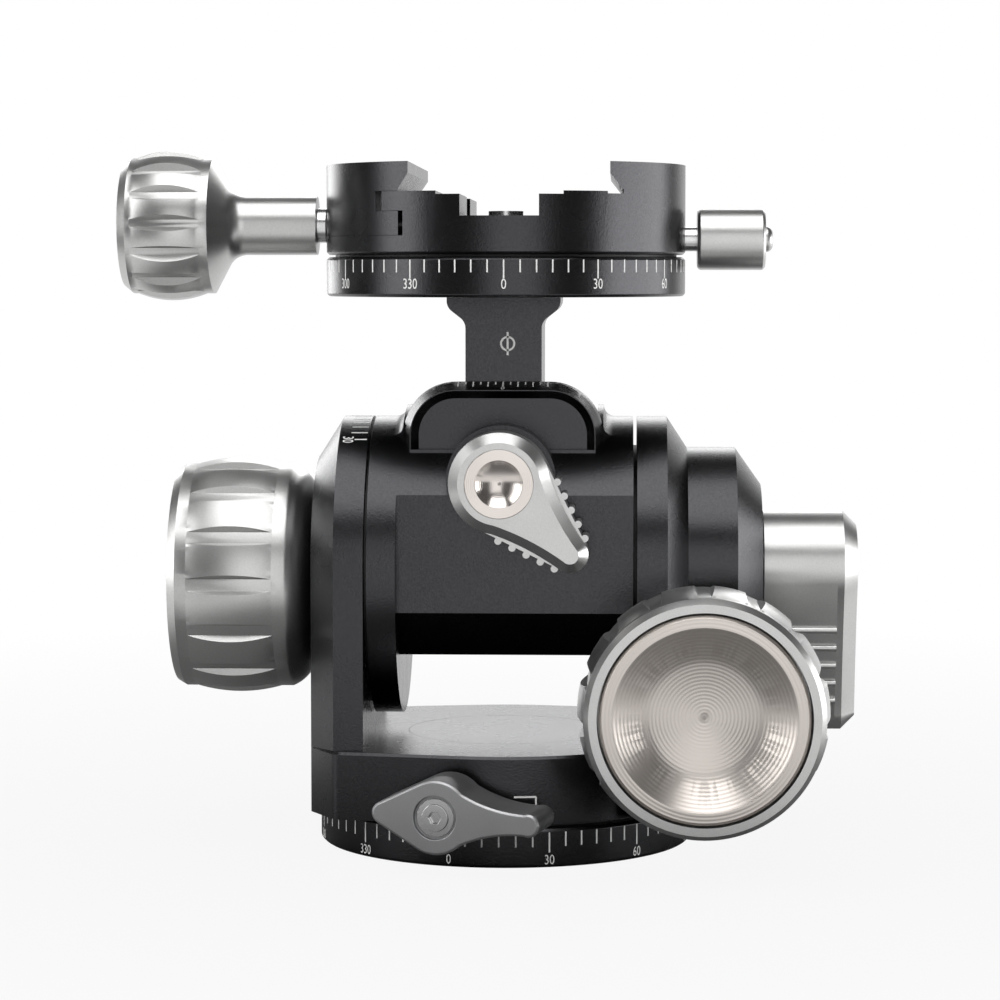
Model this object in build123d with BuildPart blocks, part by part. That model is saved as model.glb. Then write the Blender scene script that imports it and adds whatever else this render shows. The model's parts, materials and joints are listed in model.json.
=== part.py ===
"""Geared tripod head: a panning base, two geared axes and a panning dovetail clamp.

Millimetres. The origin is the centre of the base's underside, on the pan axis.
+Z is up, -Y is the front, where the tilt knob and the roll lever are.
"""
import os
from math import acos, asin, cos, degrees, pi, radians, sin, tan

from build123d import *

os.makedirs("parts", exist_ok=True)

# Fits
running_gap = 0.05  # radial, a shaft in its bearing
thrust_gap = 0.05  # axial, a running shoulder
seat_gap = 0.02  # radial, pieces of one body that seat in each other
slide_gap = 0.3  # between faces that move past each other
over_cut = 1.0  # how far a cutting shape reaches past the face it opens

# Base ring and pan bearing
base_radius = 32.3
base_height = 6.5
edge_break = 0.45
hub_radius = 15.0
hub_top = 12.0
thread_radius = 4.0
thread_depth = 10.0
insert_radius = 7.0
insert_length = 11.0
insert_flange_radius = 9.0
insert_flange = 1.5
relief_inner, relief_outer, relief_depth = 19.0, 27.0, 0.8
pan_gap = 0.6
washer_inner, washer_outer = 17.0, 29.5
retainer_radius = 15.9
retainer_height = 3.0
retainer_screw_place_radius = 11.0
screw_head_radius = 2.0
screw_head_height = 1.5
screw_shank_radius = 1.2

# Yoke
collar_radius = 31.5
collar_height = 11.35
tilt_height = 29.11  # from the collar's floor to the tilt axis
cheek_radius = 25.85
left_inner, left_rim, left_outer = -22.96, -27.95, -32.35
left_flat_radius = 18.97
right_inner, right_rim, right_outer = 22.74, 27.84, 31.36
right_flat_radius = 20.48
collar_corner_radius = 2.0
collar_corner = (26.5, 25.3)
collar_side_corner_radius = 1.0
cap_radius = 17.0
cap_thickness = 2.05
left_trunnion_radius = 11.95
left_bush_radius = 13.5
left_wall = 2.0
right_trunnion_radius = 8.95
right_bush_radius = 10.5

# Drum between the cheeks
drum_left, drum_right = -22.4, 22.1
drum_flange = 4.8
drum_front = 22.0
drum_depth = 14.26  # from the tilt axis to the flat underside
drum_bevel = 8.0
drum_washer_radius = 24.0
drum_washer_right_radius = 20.8
worm_bore_radius = 5.5

# Roll axis and the arch that guards it
roll_height = 16.14  # from the tilt axis to the roll axis
roll_limit = 30.0
arch_half_width = 17.0
arch_height = 16.1  # from the roll axis to the ridge
arch_corner = 9.0
arch_ridge = 12.0
arch_depth = 16.0
arch_slope = 1.3
arch_panel_depth = 1.3
arch_panel_rim = 0.15
arch_panel_height = 4.7  # from the roll axis to the panel's lower edge
arch_foot_fillet = 2.0
arch_foot_half_angle = 27.0  # how far the fillet runs round the drum from its top
lever_boss_radius = 9.2
lever_boss_front = 22.9
pivot_radius = 4.0
pivot_nut_radius = 6.5
pivot_nut_height = 2.0
rear_boss_radius = 8.2
rear_boss_back = 22.2

# Neck
neck_half_width = 6.5
neck_half_depth = 11.3
neck_boss_radius = 9.0
neck_height = 30.5  # from the roll axis to the ring
neck_flare_half_width = 9.7
neck_flare_length, neck_flare_flat = 4.3, 1.8  # down from the neck's top
neck_fillet = 2.2
ring_screw_x, ring_screw_y = 4.4, 7.6
ring_screw_depth = 3.0

# Gears: single-start worms on a worm wheel and on a sector
tilt_teeth = 60
tilt_module = 0.52
tilt_gear_width = 3.2
roll_teeth = 40
roll_module = 0.7
roll_worm_drop = 1.96  # from the tilt axis down to the roll worm
sector_width = 5.0
sector_half_angle = 58.0
pressure_angle = 20.0
backlash = 0.12
tip_gap = 0.25  # in modules
worm_turns = 4
worm_shaft_radius = 3.0
worm_bush_length = 4.0

# Gear housing on the right cheek
housing_rim, housing_outer = 39.69, 44.15
housing_flat_radius = 14.17
housing_chamber_radius = 16.5
housing_end_wall = 4.65
housing_screw_radius = 18.98
housing_screw_depth = 4.0
worm_x = 33.45
tilt_worm_drop = 20.16  # from the tilt axis down to the tilt worm
barrel_radius = 7.8
barrel_front, barrel_back = -25.6, 18.0
worm_bore_end = 14.0
tilt_shaft_radius = 4.0
tilt_shaft_start = 14.5
clutch_radius = 11.0
clutch_thickness = 2.0

# Large fluted knobs, measured from the back of the hub
knob_back_radius = 13.3
knob_cone = 4.1
knob_back_bulge = 1.1
knob_band_radius = 19.4
knob_back_band = 2.0
knob_crown_radius = 20.45
knob_crown = 14.6
knob_front_band = 1.9
knob_nose = 1.4
knob_face_radius = 19.0
knob_flutes = 15
knob_flute_angle = 74.0
knob_flute_floor = 2.0  # width of a flute's flat floor
tilt_knob_flute_start, roll_knob_flute_start = 90.0, 0.0
knob_recess_radius = 17.2
dish_radius = 16.85
dish_rim_radius = 14.85
dish_floor_radius = 9.65
dish_depth = 3.4
dish_centre_depth = 4.6
dish_thickness = 6.2
knob_gap = 0.55  # from the back of a knob to its cheek

# Teardrop levers
lever_head_radius = 8.4
lever_tip_radius = 3.05
lever_reach = 16.5
lever_thickness = 9.5
lever_bevel = 1.6
lever_waist = 0.7
grip_setback = 1.2
rib_radius = 0.6
rib_rise = 0.3
rib_pitch = 2.45
rib_start = 6.6
rib_count = 5
roll_lever_angle = -45.0
side_head_radius = 9.6
side_reach = 25.6
side_thickness = 16.1
side_start = 44.6
side_bevel = 2.4
side_rib_pitch = 3.15
side_rib_start = 10.6
thrust_pin_radius = 3.0
thrust_pin_seat = 3.0
lever_stud_radius = 2.5
button_radius = 5.7
button_dish_radius = 3.9
button_depth = 1.6
button_thickness = 3.0

# Pan lock wing, on a radial screw
wing_azimuth = 13.3
wing_z = 10.15
wing_front, wing_thickness = 43.6, 10.0
wing_hub_radius = 6.1
wing_left_reach, wing_left_radius = 8.85, 1.9
wing_right_reach, wing_right_radius = 15.6, 1.9
wing_waist = 1.25
wing_left_rise, wing_right_drop = 0.4, 0.6
wing_edge = 0.35
wing_screw_radius = 2.5
wing_washer_radius = 3.1
wing_recess_radius = 3.6
wing_recess_depth = 0.8
wing_screw_head_radius = 2.2
shoe_radius = 2.8
shoe_length = 3.8

# Top ring, clamp and their bearing
ring_radius = 31.0
ring_height = 6.7
clamp_gap = 0.4
bed_height = 10.4  # from the clamp's underside to the bed
channel_depth = 4.9
bed_groove_half_width, bed_groove_depth = 10.5, 0.55
bed_corner_groove, bed_corner_depth = 2.7, 0.4
notch_half_width, notch_depth = 6.5, 4.1
spindle_radius = 6.0
spindle_flange_radius, spindle_flange = 12.0, 2.0
spindle_height = 4.75
clamp_retainer_radius, clamp_retainer_height = 8.5, 1.7
cap_screw_radius, cap_screw_depth = 1.5, 4.5
jaw_lip = 1.9
fixed_root, fixed_tip = 20.4, 18.1
moving_root, moving_tip = -17.1, -15.2
jaw_split = -19.75
jaw_split_gap = 1.1
tongue_drop, tongue_height = 3.2, 4.1  # from the bed down to the tongue
tongue_end = -16.1
tongue_gap = 0.8
jaw_closing = 0.7
jaw_clearance = 0.06
guide_pin_radius, guide_pin_offset = 1.5, 14.0
guide_pin_start, guide_pin_end = -24.5, -10.0
clamp_screw_drop = 5.35  # from the bed down to the clamp's screw
clamp_screw_radius = 1.5
clamp_screw_start, clamp_screw_end = -60.0, -10.2
screw_hole_end = -9.3
bush_radius = 1.85
bush_flange_radius, bush_flange_x = 3.0, -31.05
bush_end = -28.5
guide_hole_end = -25.9
clip_radius, clip_start, clip_end = 1.9, -16.86, -16.26
clip_pocket_radius, clip_pocket_end = 2.2, -14.9

# Small clamp knob, from its neck to its face
small_neck_x, small_cone_x = -32.7, -47.0
small_neck_radius = 5.05
small_back_x = -50.6
small_back_band_x, small_front_band_x = -52.0, -63.9
small_face_x = -66.15
small_band_radius = 11.7
small_crown_radius = 12.9
small_face_radius = 10.5
small_flutes = 15
small_flute_start = 178.5
small_flute_floor = 1.2
small_cap_radius, small_cap_thickness = 7.0, 2.0
small_cone_fillet = 3.6
small_front_band = 0.8

# Knob that locks the top pan
lock_height = 3.1  # above the scale ring
lock_screw_radius = 2.1
lock_knob_start, lock_knob_end = 33.05, 44.75
lock_knob_radius = 5.3
lock_button_radius, lock_button, lock_button_fillet = 2.2, 1.3, 1.1
lock_pad_radius, lock_pad_end = 1.35, 8.95
lock_screw_end = 40.0

# Heights over the base's underside
collar_bottom_z = base_height + pan_gap
floor_z = collar_bottom_z + collar_height
tilt_z = floor_z + tilt_height
worm_z = tilt_z - tilt_worm_drop
roll_worm_z = tilt_z - roll_worm_drop
drum_bottom_z = tilt_z - drum_depth
roll_z = tilt_z + roll_height
arch_top_z = roll_z + arch_height
arch_panel_bottom_z = roll_z + arch_panel_height
neck_top_z = roll_z + neck_height
ring_top_z = neck_top_z + ring_height
clamp_bottom_z = ring_top_z + clamp_gap
clamp_bed_z = clamp_bottom_z + bed_height
clamp_top_z = clamp_bed_z + channel_depth
jaw_tip_z = clamp_top_z - jaw_lip
tongue_top_z = clamp_bed_z - tongue_drop
tongue_bottom_z = tongue_top_z - tongue_height
notch_floor_z = clamp_bed_z - notch_depth
clamp_screw_z = clamp_bed_z - clamp_screw_drop
spindle_top_z = ring_top_z + spindle_height
lock_z = ring_top_z + lock_height


def side_plane(x, z=tilt_z):
    """A plane across the tilt axis: local x runs back, local y up, and it faces right."""
    return Plane(origin=(x, 0, z), x_dir=(0, 1, 0), z_dir=(1, 0, 0))


def front_plane(y, x=0.0, z=0.0):
    """A plane that faces the front: local x runs right and local y up."""
    return Plane(origin=(x, y, z), x_dir=(1, 0, 0), z_dir=(0, -1, 0))


def lock_plane(radius):
    """A plane square to the radial screw of the pan lock, facing outwards."""
    turn = radians(wing_azimuth)
    outward = Vector(-sin(turn), -cos(turn), 0)
    origin = outward * radius + Vector(0, 0, wing_z)
    return Plane(origin=origin, x_dir=(cos(turn), -sin(turn), 0), z_dir=outward)


def circles_of(part, radius):
    """The part's circular edges of one radius."""
    rings = part.edges().filter_by(GeomType.CIRCLE)
    return rings.filter_by(lambda edge: abs(edge.radius - radius) < 0.001)


def flute(depth, floor_width):
    """One straight flute of a knob's crown, drawn outwards from its flat floor."""
    reach = 2 * depth
    half_floor = floor_width / 2
    half_width = half_floor + reach * tan(radians(knob_flute_angle / 2))
    Polygon(
        (0, -half_floor), (reach, -half_width), (reach, half_width), (0, half_floor), align=None
    )


tilt_axis = Axis((0, 0, tilt_z), (1, 0, 0))
retaining_z = hub_top - thrust_gap
knob_length = knob_cone + knob_back_band + knob_crown + knob_front_band + knob_nose

# ---------------------------------------------------------------- base ring
with BuildPart() as base_plate:
    with BuildSketch():
        Circle(base_radius)
    extrude(amount=base_height)
    with BuildSketch(Plane.XY.offset(base_height)):
        Circle(hub_radius)
    extrude(amount=hub_top - base_height)
    chamfer(circles_of(base_plate, base_radius), edge_break)
    with BuildSketch():
        Circle(relief_outer)
        Circle(relief_inner, mode=Mode.SUBTRACT)
    extrude(amount=relief_depth, mode=Mode.SUBTRACT)
    with BuildSketch():
        Circle(insert_radius + seat_gap)
    extrude(amount=insert_length + seat_gap, mode=Mode.SUBTRACT)
    with BuildSketch():
        Circle(insert_flange_radius + seat_gap)
    extrude(amount=insert_flange + seat_gap, mode=Mode.SUBTRACT)
    with BuildSketch(Plane.XY.offset(hub_top)):
        with PolarLocations(retainer_screw_place_radius, 3):
            Circle(screw_shank_radius + seat_gap)
    extrude(amount=-insert_flange - screw_head_height, mode=Mode.SUBTRACT)
base_plate.part.label = "base_plate"
export_step(base_plate.part, "parts/base_plate.step")

with BuildPart() as thread_insert:
    with BuildSketch():
        Circle(insert_flange_radius)
    extrude(amount=insert_flange)
    with BuildSketch():
        Circle(insert_radius)
    extrude(amount=insert_length)
    with BuildSketch():
        Circle(thread_radius)
    extrude(amount=thread_depth, mode=Mode.SUBTRACT)
thread_insert.part.label = "thread_insert"
export_step(thread_insert.part, "parts/thread_insert.step")

with BuildPart() as pan_washer:
    with BuildSketch(Plane.XY.offset(base_height)):
        Circle(washer_outer)
        Circle(washer_inner, mode=Mode.SUBTRACT)
    extrude(amount=pan_gap - thrust_gap)
pan_washer.part.label = "pan_washer"
export_step(pan_washer.part, "parts/pan_washer.step")

with BuildPart() as pan_retainer:
    with BuildSketch(Plane.XY.offset(hub_top)):
        Circle(retainer_radius)
    extrude(amount=retainer_height)
    with Locations(Plane.XY.offset(hub_top + retainer_height)):
        with PolarLocations(retainer_screw_place_radius, 3):
            CounterBoreHole(
                screw_shank_radius + seat_gap, screw_head_radius + seat_gap, screw_head_height
            )
pan_retainer.part.label = "pan_retainer"
export_step(pan_retainer.part, "parts/pan_retainer.step")

with BuildPart() as retainer_screws:
    with BuildSketch(Plane.XY.offset(hub_top + retainer_height)):
        with PolarLocations(retainer_screw_place_radius, 3):
            Circle(screw_head_radius)
    extrude(amount=-screw_head_height)
    with BuildSketch(Plane.XY.offset(hub_top + retainer_height)):
        with PolarLocations(retainer_screw_place_radius, 3):
            Circle(screw_shank_radius)
    extrude(amount=-retainer_height - insert_flange)
retainer_screws.part.label = "retainer_screws"
export_step(retainer_screws.part, "parts/retainer_screws.step")

# ---------------------------------------------------------------- yoke
with BuildPart() as yoke_frame:
    # collar: a round plate drawn out to the feet of the two cheeks
    with BuildSketch(Plane.XY.offset(collar_bottom_z)):
        Circle(collar_radius)
        corner_x, corner_y = collar_corner
        with Locations((-corner_x, -corner_y), (-corner_x, corner_y), (corner_x, corner_y)):
            Circle(collar_corner_radius)
        with Locations(
            (left_outer + collar_side_corner_radius, left_flat_radius),
            (left_outer + collar_side_corner_radius, -left_flat_radius),
        ):
            Circle(collar_side_corner_radius)
        make_hull()
    extrude(amount=floor_z - collar_bottom_z)
    chamfer(yoke_frame.faces().sort_by(Axis.Z)[-1].edges(), edge_break)
    # cheeks: one section, straight up from the collar and spun over the tilt axis
    for inner, rim, outer, flat_radius in (
        (left_inner, left_rim, left_outer, left_flat_radius),
        (right_inner, right_rim, right_outer, right_flat_radius),
    ):
        with BuildSketch(Plane.XY.offset(collar_bottom_z)):
            with BuildLine():
                Polyline(
                    (inner, -cheek_radius), (rim, -cheek_radius), (outer, -flat_radius),
                    (outer, flat_radius), (rim, cheek_radius), (inner, cheek_radius),
                    close=True,
                )
            make_face()
        extrude(amount=tilt_z - collar_bottom_z)
        with BuildSketch(Plane.XY.offset(tilt_z)):
            with BuildLine():
                Polyline(
                    (inner, 0), (outer, 0), (outer, flat_radius),
                    (rim, cheek_radius), (inner, cheek_radius),
                    close=True,
                )
            make_face()
        revolve(axis=tilt_axis, revolution_arc=180)
    # the inner half of the worm's barrel stands on the right cheek
    with BuildSketch(front_plane(barrel_back, worm_x, worm_z)):
        Circle(barrel_radius)
        with Locations((right_outer - worm_x, 0)):
            Rectangle(
                2 * barrel_radius, 2 * barrel_radius, align=(Align.MIN, Align.CENTER),
                mode=Mode.SUBTRACT,
            )
    extrude(amount=barrel_back - barrel_front)
    with BuildSketch(front_plane(worm_bore_end, worm_x, worm_z)):
        Circle(worm_bore_radius)
    extrude(amount=worm_bore_end - barrel_front + slide_gap, mode=Mode.SUBTRACT)
    # pan bearing, its retaining shoulder and the seat of the floor cap
    with BuildSketch(Plane.XY.offset(collar_bottom_z)):
        Circle(hub_radius + running_gap)
    extrude(amount=floor_z - collar_bottom_z, mode=Mode.SUBTRACT)
    with BuildSketch(Plane.XY.offset(retaining_z)):
        Circle(retainer_radius + slide_gap)
    extrude(amount=floor_z - retaining_z, mode=Mode.SUBTRACT)
    with BuildSketch(Plane.XY.offset(floor_z)):
        Circle(cap_radius + seat_gap)
    extrude(amount=-cap_thickness, mode=Mode.SUBTRACT)
    # tilt bearings
    with BuildSketch(side_plane(left_inner)):
        Circle(left_bush_radius + seat_gap)
    extrude(amount=left_outer + left_wall - left_inner, mode=Mode.SUBTRACT)
    # the roll worm's shaft circles the tilt axis inside this hole
    with BuildSketch(side_plane(left_inner)):
        Circle(roll_worm_drop + worm_shaft_radius + slide_gap)
    extrude(amount=left_outer - left_inner, mode=Mode.SUBTRACT)
    with BuildSketch(side_plane(right_inner)):
        Circle(right_bush_radius + seat_gap)
    extrude(amount=right_outer - right_inner, mode=Mode.SUBTRACT)
    # screws of the gear housing, from inside the right cheek
    with Locations(Plane(origin=(right_inner, 0, tilt_z), x_dir=(0, -1, 0), z_dir=(-1, 0, 0))):
        with PolarLocations(housing_screw_radius, 3, start_angle=0, angular_range=180,
                            endpoint=True):
            CounterBoreHole(
                screw_shank_radius + seat_gap, screw_head_radius + seat_gap,
                screw_head_height + slide_gap, right_outer - right_inner,
            )
    # the pan lock's screw and its brake shoe
    with BuildSketch(lock_plane(hub_radius / 2)):
        Circle(wing_screw_radius + running_gap)
    extrude(amount=collar_radius, mode=Mode.SUBTRACT)
    with BuildSketch(lock_plane(hub_radius / 2)):
        Circle(shoe_radius + seat_gap)
    extrude(amount=hub_radius / 2 + shoe_length + slide_gap, mode=Mode.SUBTRACT)
yoke_frame.part.label = "yoke_frame"
export_step(yoke_frame.part, "parts/yoke_frame.step")

with BuildPart() as floor_cap:
    with BuildSketch(Plane.XY.offset(floor_z - cap_thickness)):
        Circle(cap_radius)
    extrude(amount=cap_thickness)
floor_cap.part.label = "floor_cap"
export_step(floor_cap.part, "parts/floor_cap.step")

with BuildPart() as left_bush:
    with BuildSketch(side_plane(left_inner)):
        Circle(left_bush_radius)
        Circle(left_trunnion_radius + running_gap, mode=Mode.SUBTRACT)
    extrude(amount=left_outer + left_wall - left_inner)
left_bush.part.label = "left_bush"
export_step(left_bush.part, "parts/left_bush.step")

with BuildPart() as right_bush:
    with BuildSketch(side_plane(right_inner)):
        Circle(right_bush_radius)
        Circle(right_trunnion_radius + running_gap, mode=Mode.SUBTRACT)
    extrude(amount=right_outer - right_inner)
right_bush.part.label = "right_bush"
export_step(right_bush.part, "parts/right_bush.step")

with BuildPart() as pan_brake_shoe:
    with BuildSketch(lock_plane(hub_radius / 2)):
        Circle(shoe_radius)
    extrude(amount=hub_radius / 2 + shoe_length)
    # its inner end is hollowed to fit the hub
    with BuildSketch(Plane.XY):
        Circle(hub_radius + running_gap)
    extrude(amount=floor_z, mode=Mode.SUBTRACT)
    with BuildSketch(Plane.XY.offset(retaining_z)):
        Circle(retainer_radius + slide_gap)
    extrude(amount=floor_z, mode=Mode.SUBTRACT)
pan_brake_shoe.part.label = "pan_brake_shoe"
export_step(pan_brake_shoe.part, "parts/pan_brake_shoe.step")

# ---------------------------------------------------------------- gear housing
with BuildPart() as gear_housing:
    with BuildSketch(Plane.XY.offset(tilt_z)):
        with BuildLine():
            Polyline(
                (right_outer, 0), (right_outer, right_flat_radius),
                (housing_rim, right_flat_radius), (housing_outer, housing_flat_radius),
                (housing_outer, 0),
                close=True,
            )
        make_face()
    revolve(axis=tilt_axis)
    # the outer half of the worm's barrel hangs below
    with BuildSketch(front_plane(barrel_back, worm_x, worm_z)):
        Circle(barrel_radius)
        with Locations((right_outer - worm_x, 0)):
            Rectangle(
                2 * barrel_radius, 2 * barrel_radius, align=(Align.MAX, Align.CENTER),
                mode=Mode.SUBTRACT,
            )
    extrude(amount=barrel_back - barrel_front)
    with BuildSketch(side_plane(right_outer)):
        Circle(housing_chamber_radius)
    extrude(amount=housing_outer - housing_end_wall - right_outer, mode=Mode.SUBTRACT)
    with BuildSketch(front_plane(worm_bore_end, worm_x, worm_z)):
        Circle(worm_bore_radius)
    extrude(amount=worm_bore_end - barrel_front + slide_gap, mode=Mode.SUBTRACT)
    with BuildSketch(side_plane(right_outer)):
        Circle(thrust_pin_radius + running_gap)
    extrude(amount=housing_outer - right_outer, mode=Mode.SUBTRACT)
    with BuildSketch(side_plane(right_outer)):
        with PolarLocations(housing_screw_radius, 3, start_angle=0, angular_range=180,
                            endpoint=True):
            Circle(screw_shank_radius + seat_gap)
    extrude(amount=housing_screw_depth + slide_gap, mode=Mode.SUBTRACT)
gear_housing.part.label = "gear_housing"
export_step(gear_housing.part, "parts/gear_housing.step")

with BuildPart() as housing_screws:
    with BuildSketch(side_plane(right_inner + slide_gap)):
        with PolarLocations(housing_screw_radius, 3, start_angle=0, angular_range=180,
                            endpoint=True):
            Circle(screw_head_radius)
    extrude(amount=screw_head_height)
    with BuildSketch(side_plane(right_inner + slide_gap)):
        with PolarLocations(housing_screw_radius, 3, start_angle=0, angular_range=180,
                            endpoint=True):
            Circle(screw_shank_radius)
    extrude(amount=right_outer + housing_screw_depth - right_inner - slide_gap)
housing_screws.part.label = "housing_screws"
export_step(housing_screws.part, "parts/housing_screws.step")


# ---------------------------------------------------------------- gears
def worm(pitch_radius, module, low_end, high_end):
    """A right-hand worm about z with a thread crest towards x at z = 0, on its shaft."""
    pitch = pi * module
    length = worm_turns * pitch
    slope = tan(radians(pressure_angle))
    root = pitch_radius - module * (1 + tip_gap)
    crest = pitch_radius + module
    foot = root - module / 2  # the thread's foot sits inside the core
    half_width = pitch / 4 - backlash / 2
    foot_half = half_width + (pitch_radius - foot) * slope
    crest_half = half_width - module * slope
    start = -length / 2
    with BuildPart() as blank:
        with BuildLine():
            thread_path = Helix(pitch, length, pitch_radius, center=(0, 0, start))
        with BuildSketch(Plane.XZ):
            with BuildLine():
                Polyline(
                    (foot, start - foot_half), (crest, start - crest_half),
                    (crest, start + crest_half), (foot, start + foot_half),
                    close=True,
                )
            make_face()
        sweep(path=thread_path, is_frenet=True)
        with BuildSketch(Plane.XY.offset(start - pitch)):
            Circle(root)
        extrude(amount=length + 2 * pitch)
        with BuildSketch(Plane.XY.offset(low_end)):
            Circle(worm_shaft_radius)
        extrude(amount=high_end - low_end)
    return blank.part


def tooth_gap(module, drift):
    """The space between two teeth, drawn outwards from the pitch circle."""
    slope = tan(radians(pressure_angle))
    half_width = pi * module / 4 + backlash / 2 + drift
    foot = module * (1 + tip_gap)
    tip = module * 2
    Polygon(
        (-foot, -half_width + foot * slope), (tip, -half_width - tip * slope),
        (tip, half_width + tip * slope), (-foot, half_width - foot * slope),
        align=None, mode=Mode.SUBTRACT,
    )


def helix_drift(gear_width, worm_radius, module):
    """How far the worm's thread wanders along its axis across half of the gear's face."""
    return module / 2 * asin(gear_width / 2 / worm_radius)


tilt_gear_radius = tilt_module * tilt_teeth / 2
tilt_worm_radius = tilt_z - worm_z - tilt_gear_radius
roll_gear_radius = roll_module * roll_teeth / 2
roll_worm_radius = roll_z - roll_worm_z - roll_gear_radius
knob_back_y = -cheek_radius - knob_gap
knob_back_x = left_outer - knob_gap
knob_bore_depth = knob_length - dish_thickness

with BuildPart() as tilt_worm_wheel:
    with BuildSketch(side_plane(worm_x - tilt_gear_width / 2)):
        Circle(tilt_gear_radius + tilt_module)
        with PolarLocations(tilt_gear_radius, tilt_teeth, start_angle=-90):
            tooth_gap(tilt_module, helix_drift(tilt_gear_width, tilt_worm_radius, tilt_module))
        Circle(tilt_shaft_radius + seat_gap, mode=Mode.SUBTRACT)
    extrude(amount=tilt_gear_width)
tilt_worm_wheel.part.label = "tilt_worm_wheel"
export_step(tilt_worm_wheel.part, "parts/tilt_worm_wheel.step")

with BuildPart() as tilt_worm:
    tilt_worm_seat = Plane(origin=(worm_x, 0, worm_z), x_dir=(0, 0, 1), z_dir=(0, 1, 0))
    blank = worm(
        tilt_worm_radius, tilt_module, knob_back_y - knob_bore_depth, worm_bore_end - slide_gap
    )
    add(blank.moved(tilt_worm_seat.location))
tilt_worm.part.label = "tilt_worm"
export_step(tilt_worm.part, "parts/tilt_worm.step")

with BuildPart() as tilt_worm_bushes:
    for bush_start in (barrel_front, worm_bore_end - worm_bush_length):
        with BuildSketch(front_plane(bush_start + worm_bush_length, worm_x, worm_z)):
            Circle(worm_bore_radius - seat_gap)
            Circle(worm_shaft_radius + running_gap, mode=Mode.SUBTRACT)
        extrude(amount=worm_bush_length)
tilt_worm_bushes.part.label = "tilt_worm_bushes"
export_step(tilt_worm_bushes.part, "parts/tilt_worm_bushes.step")

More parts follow.
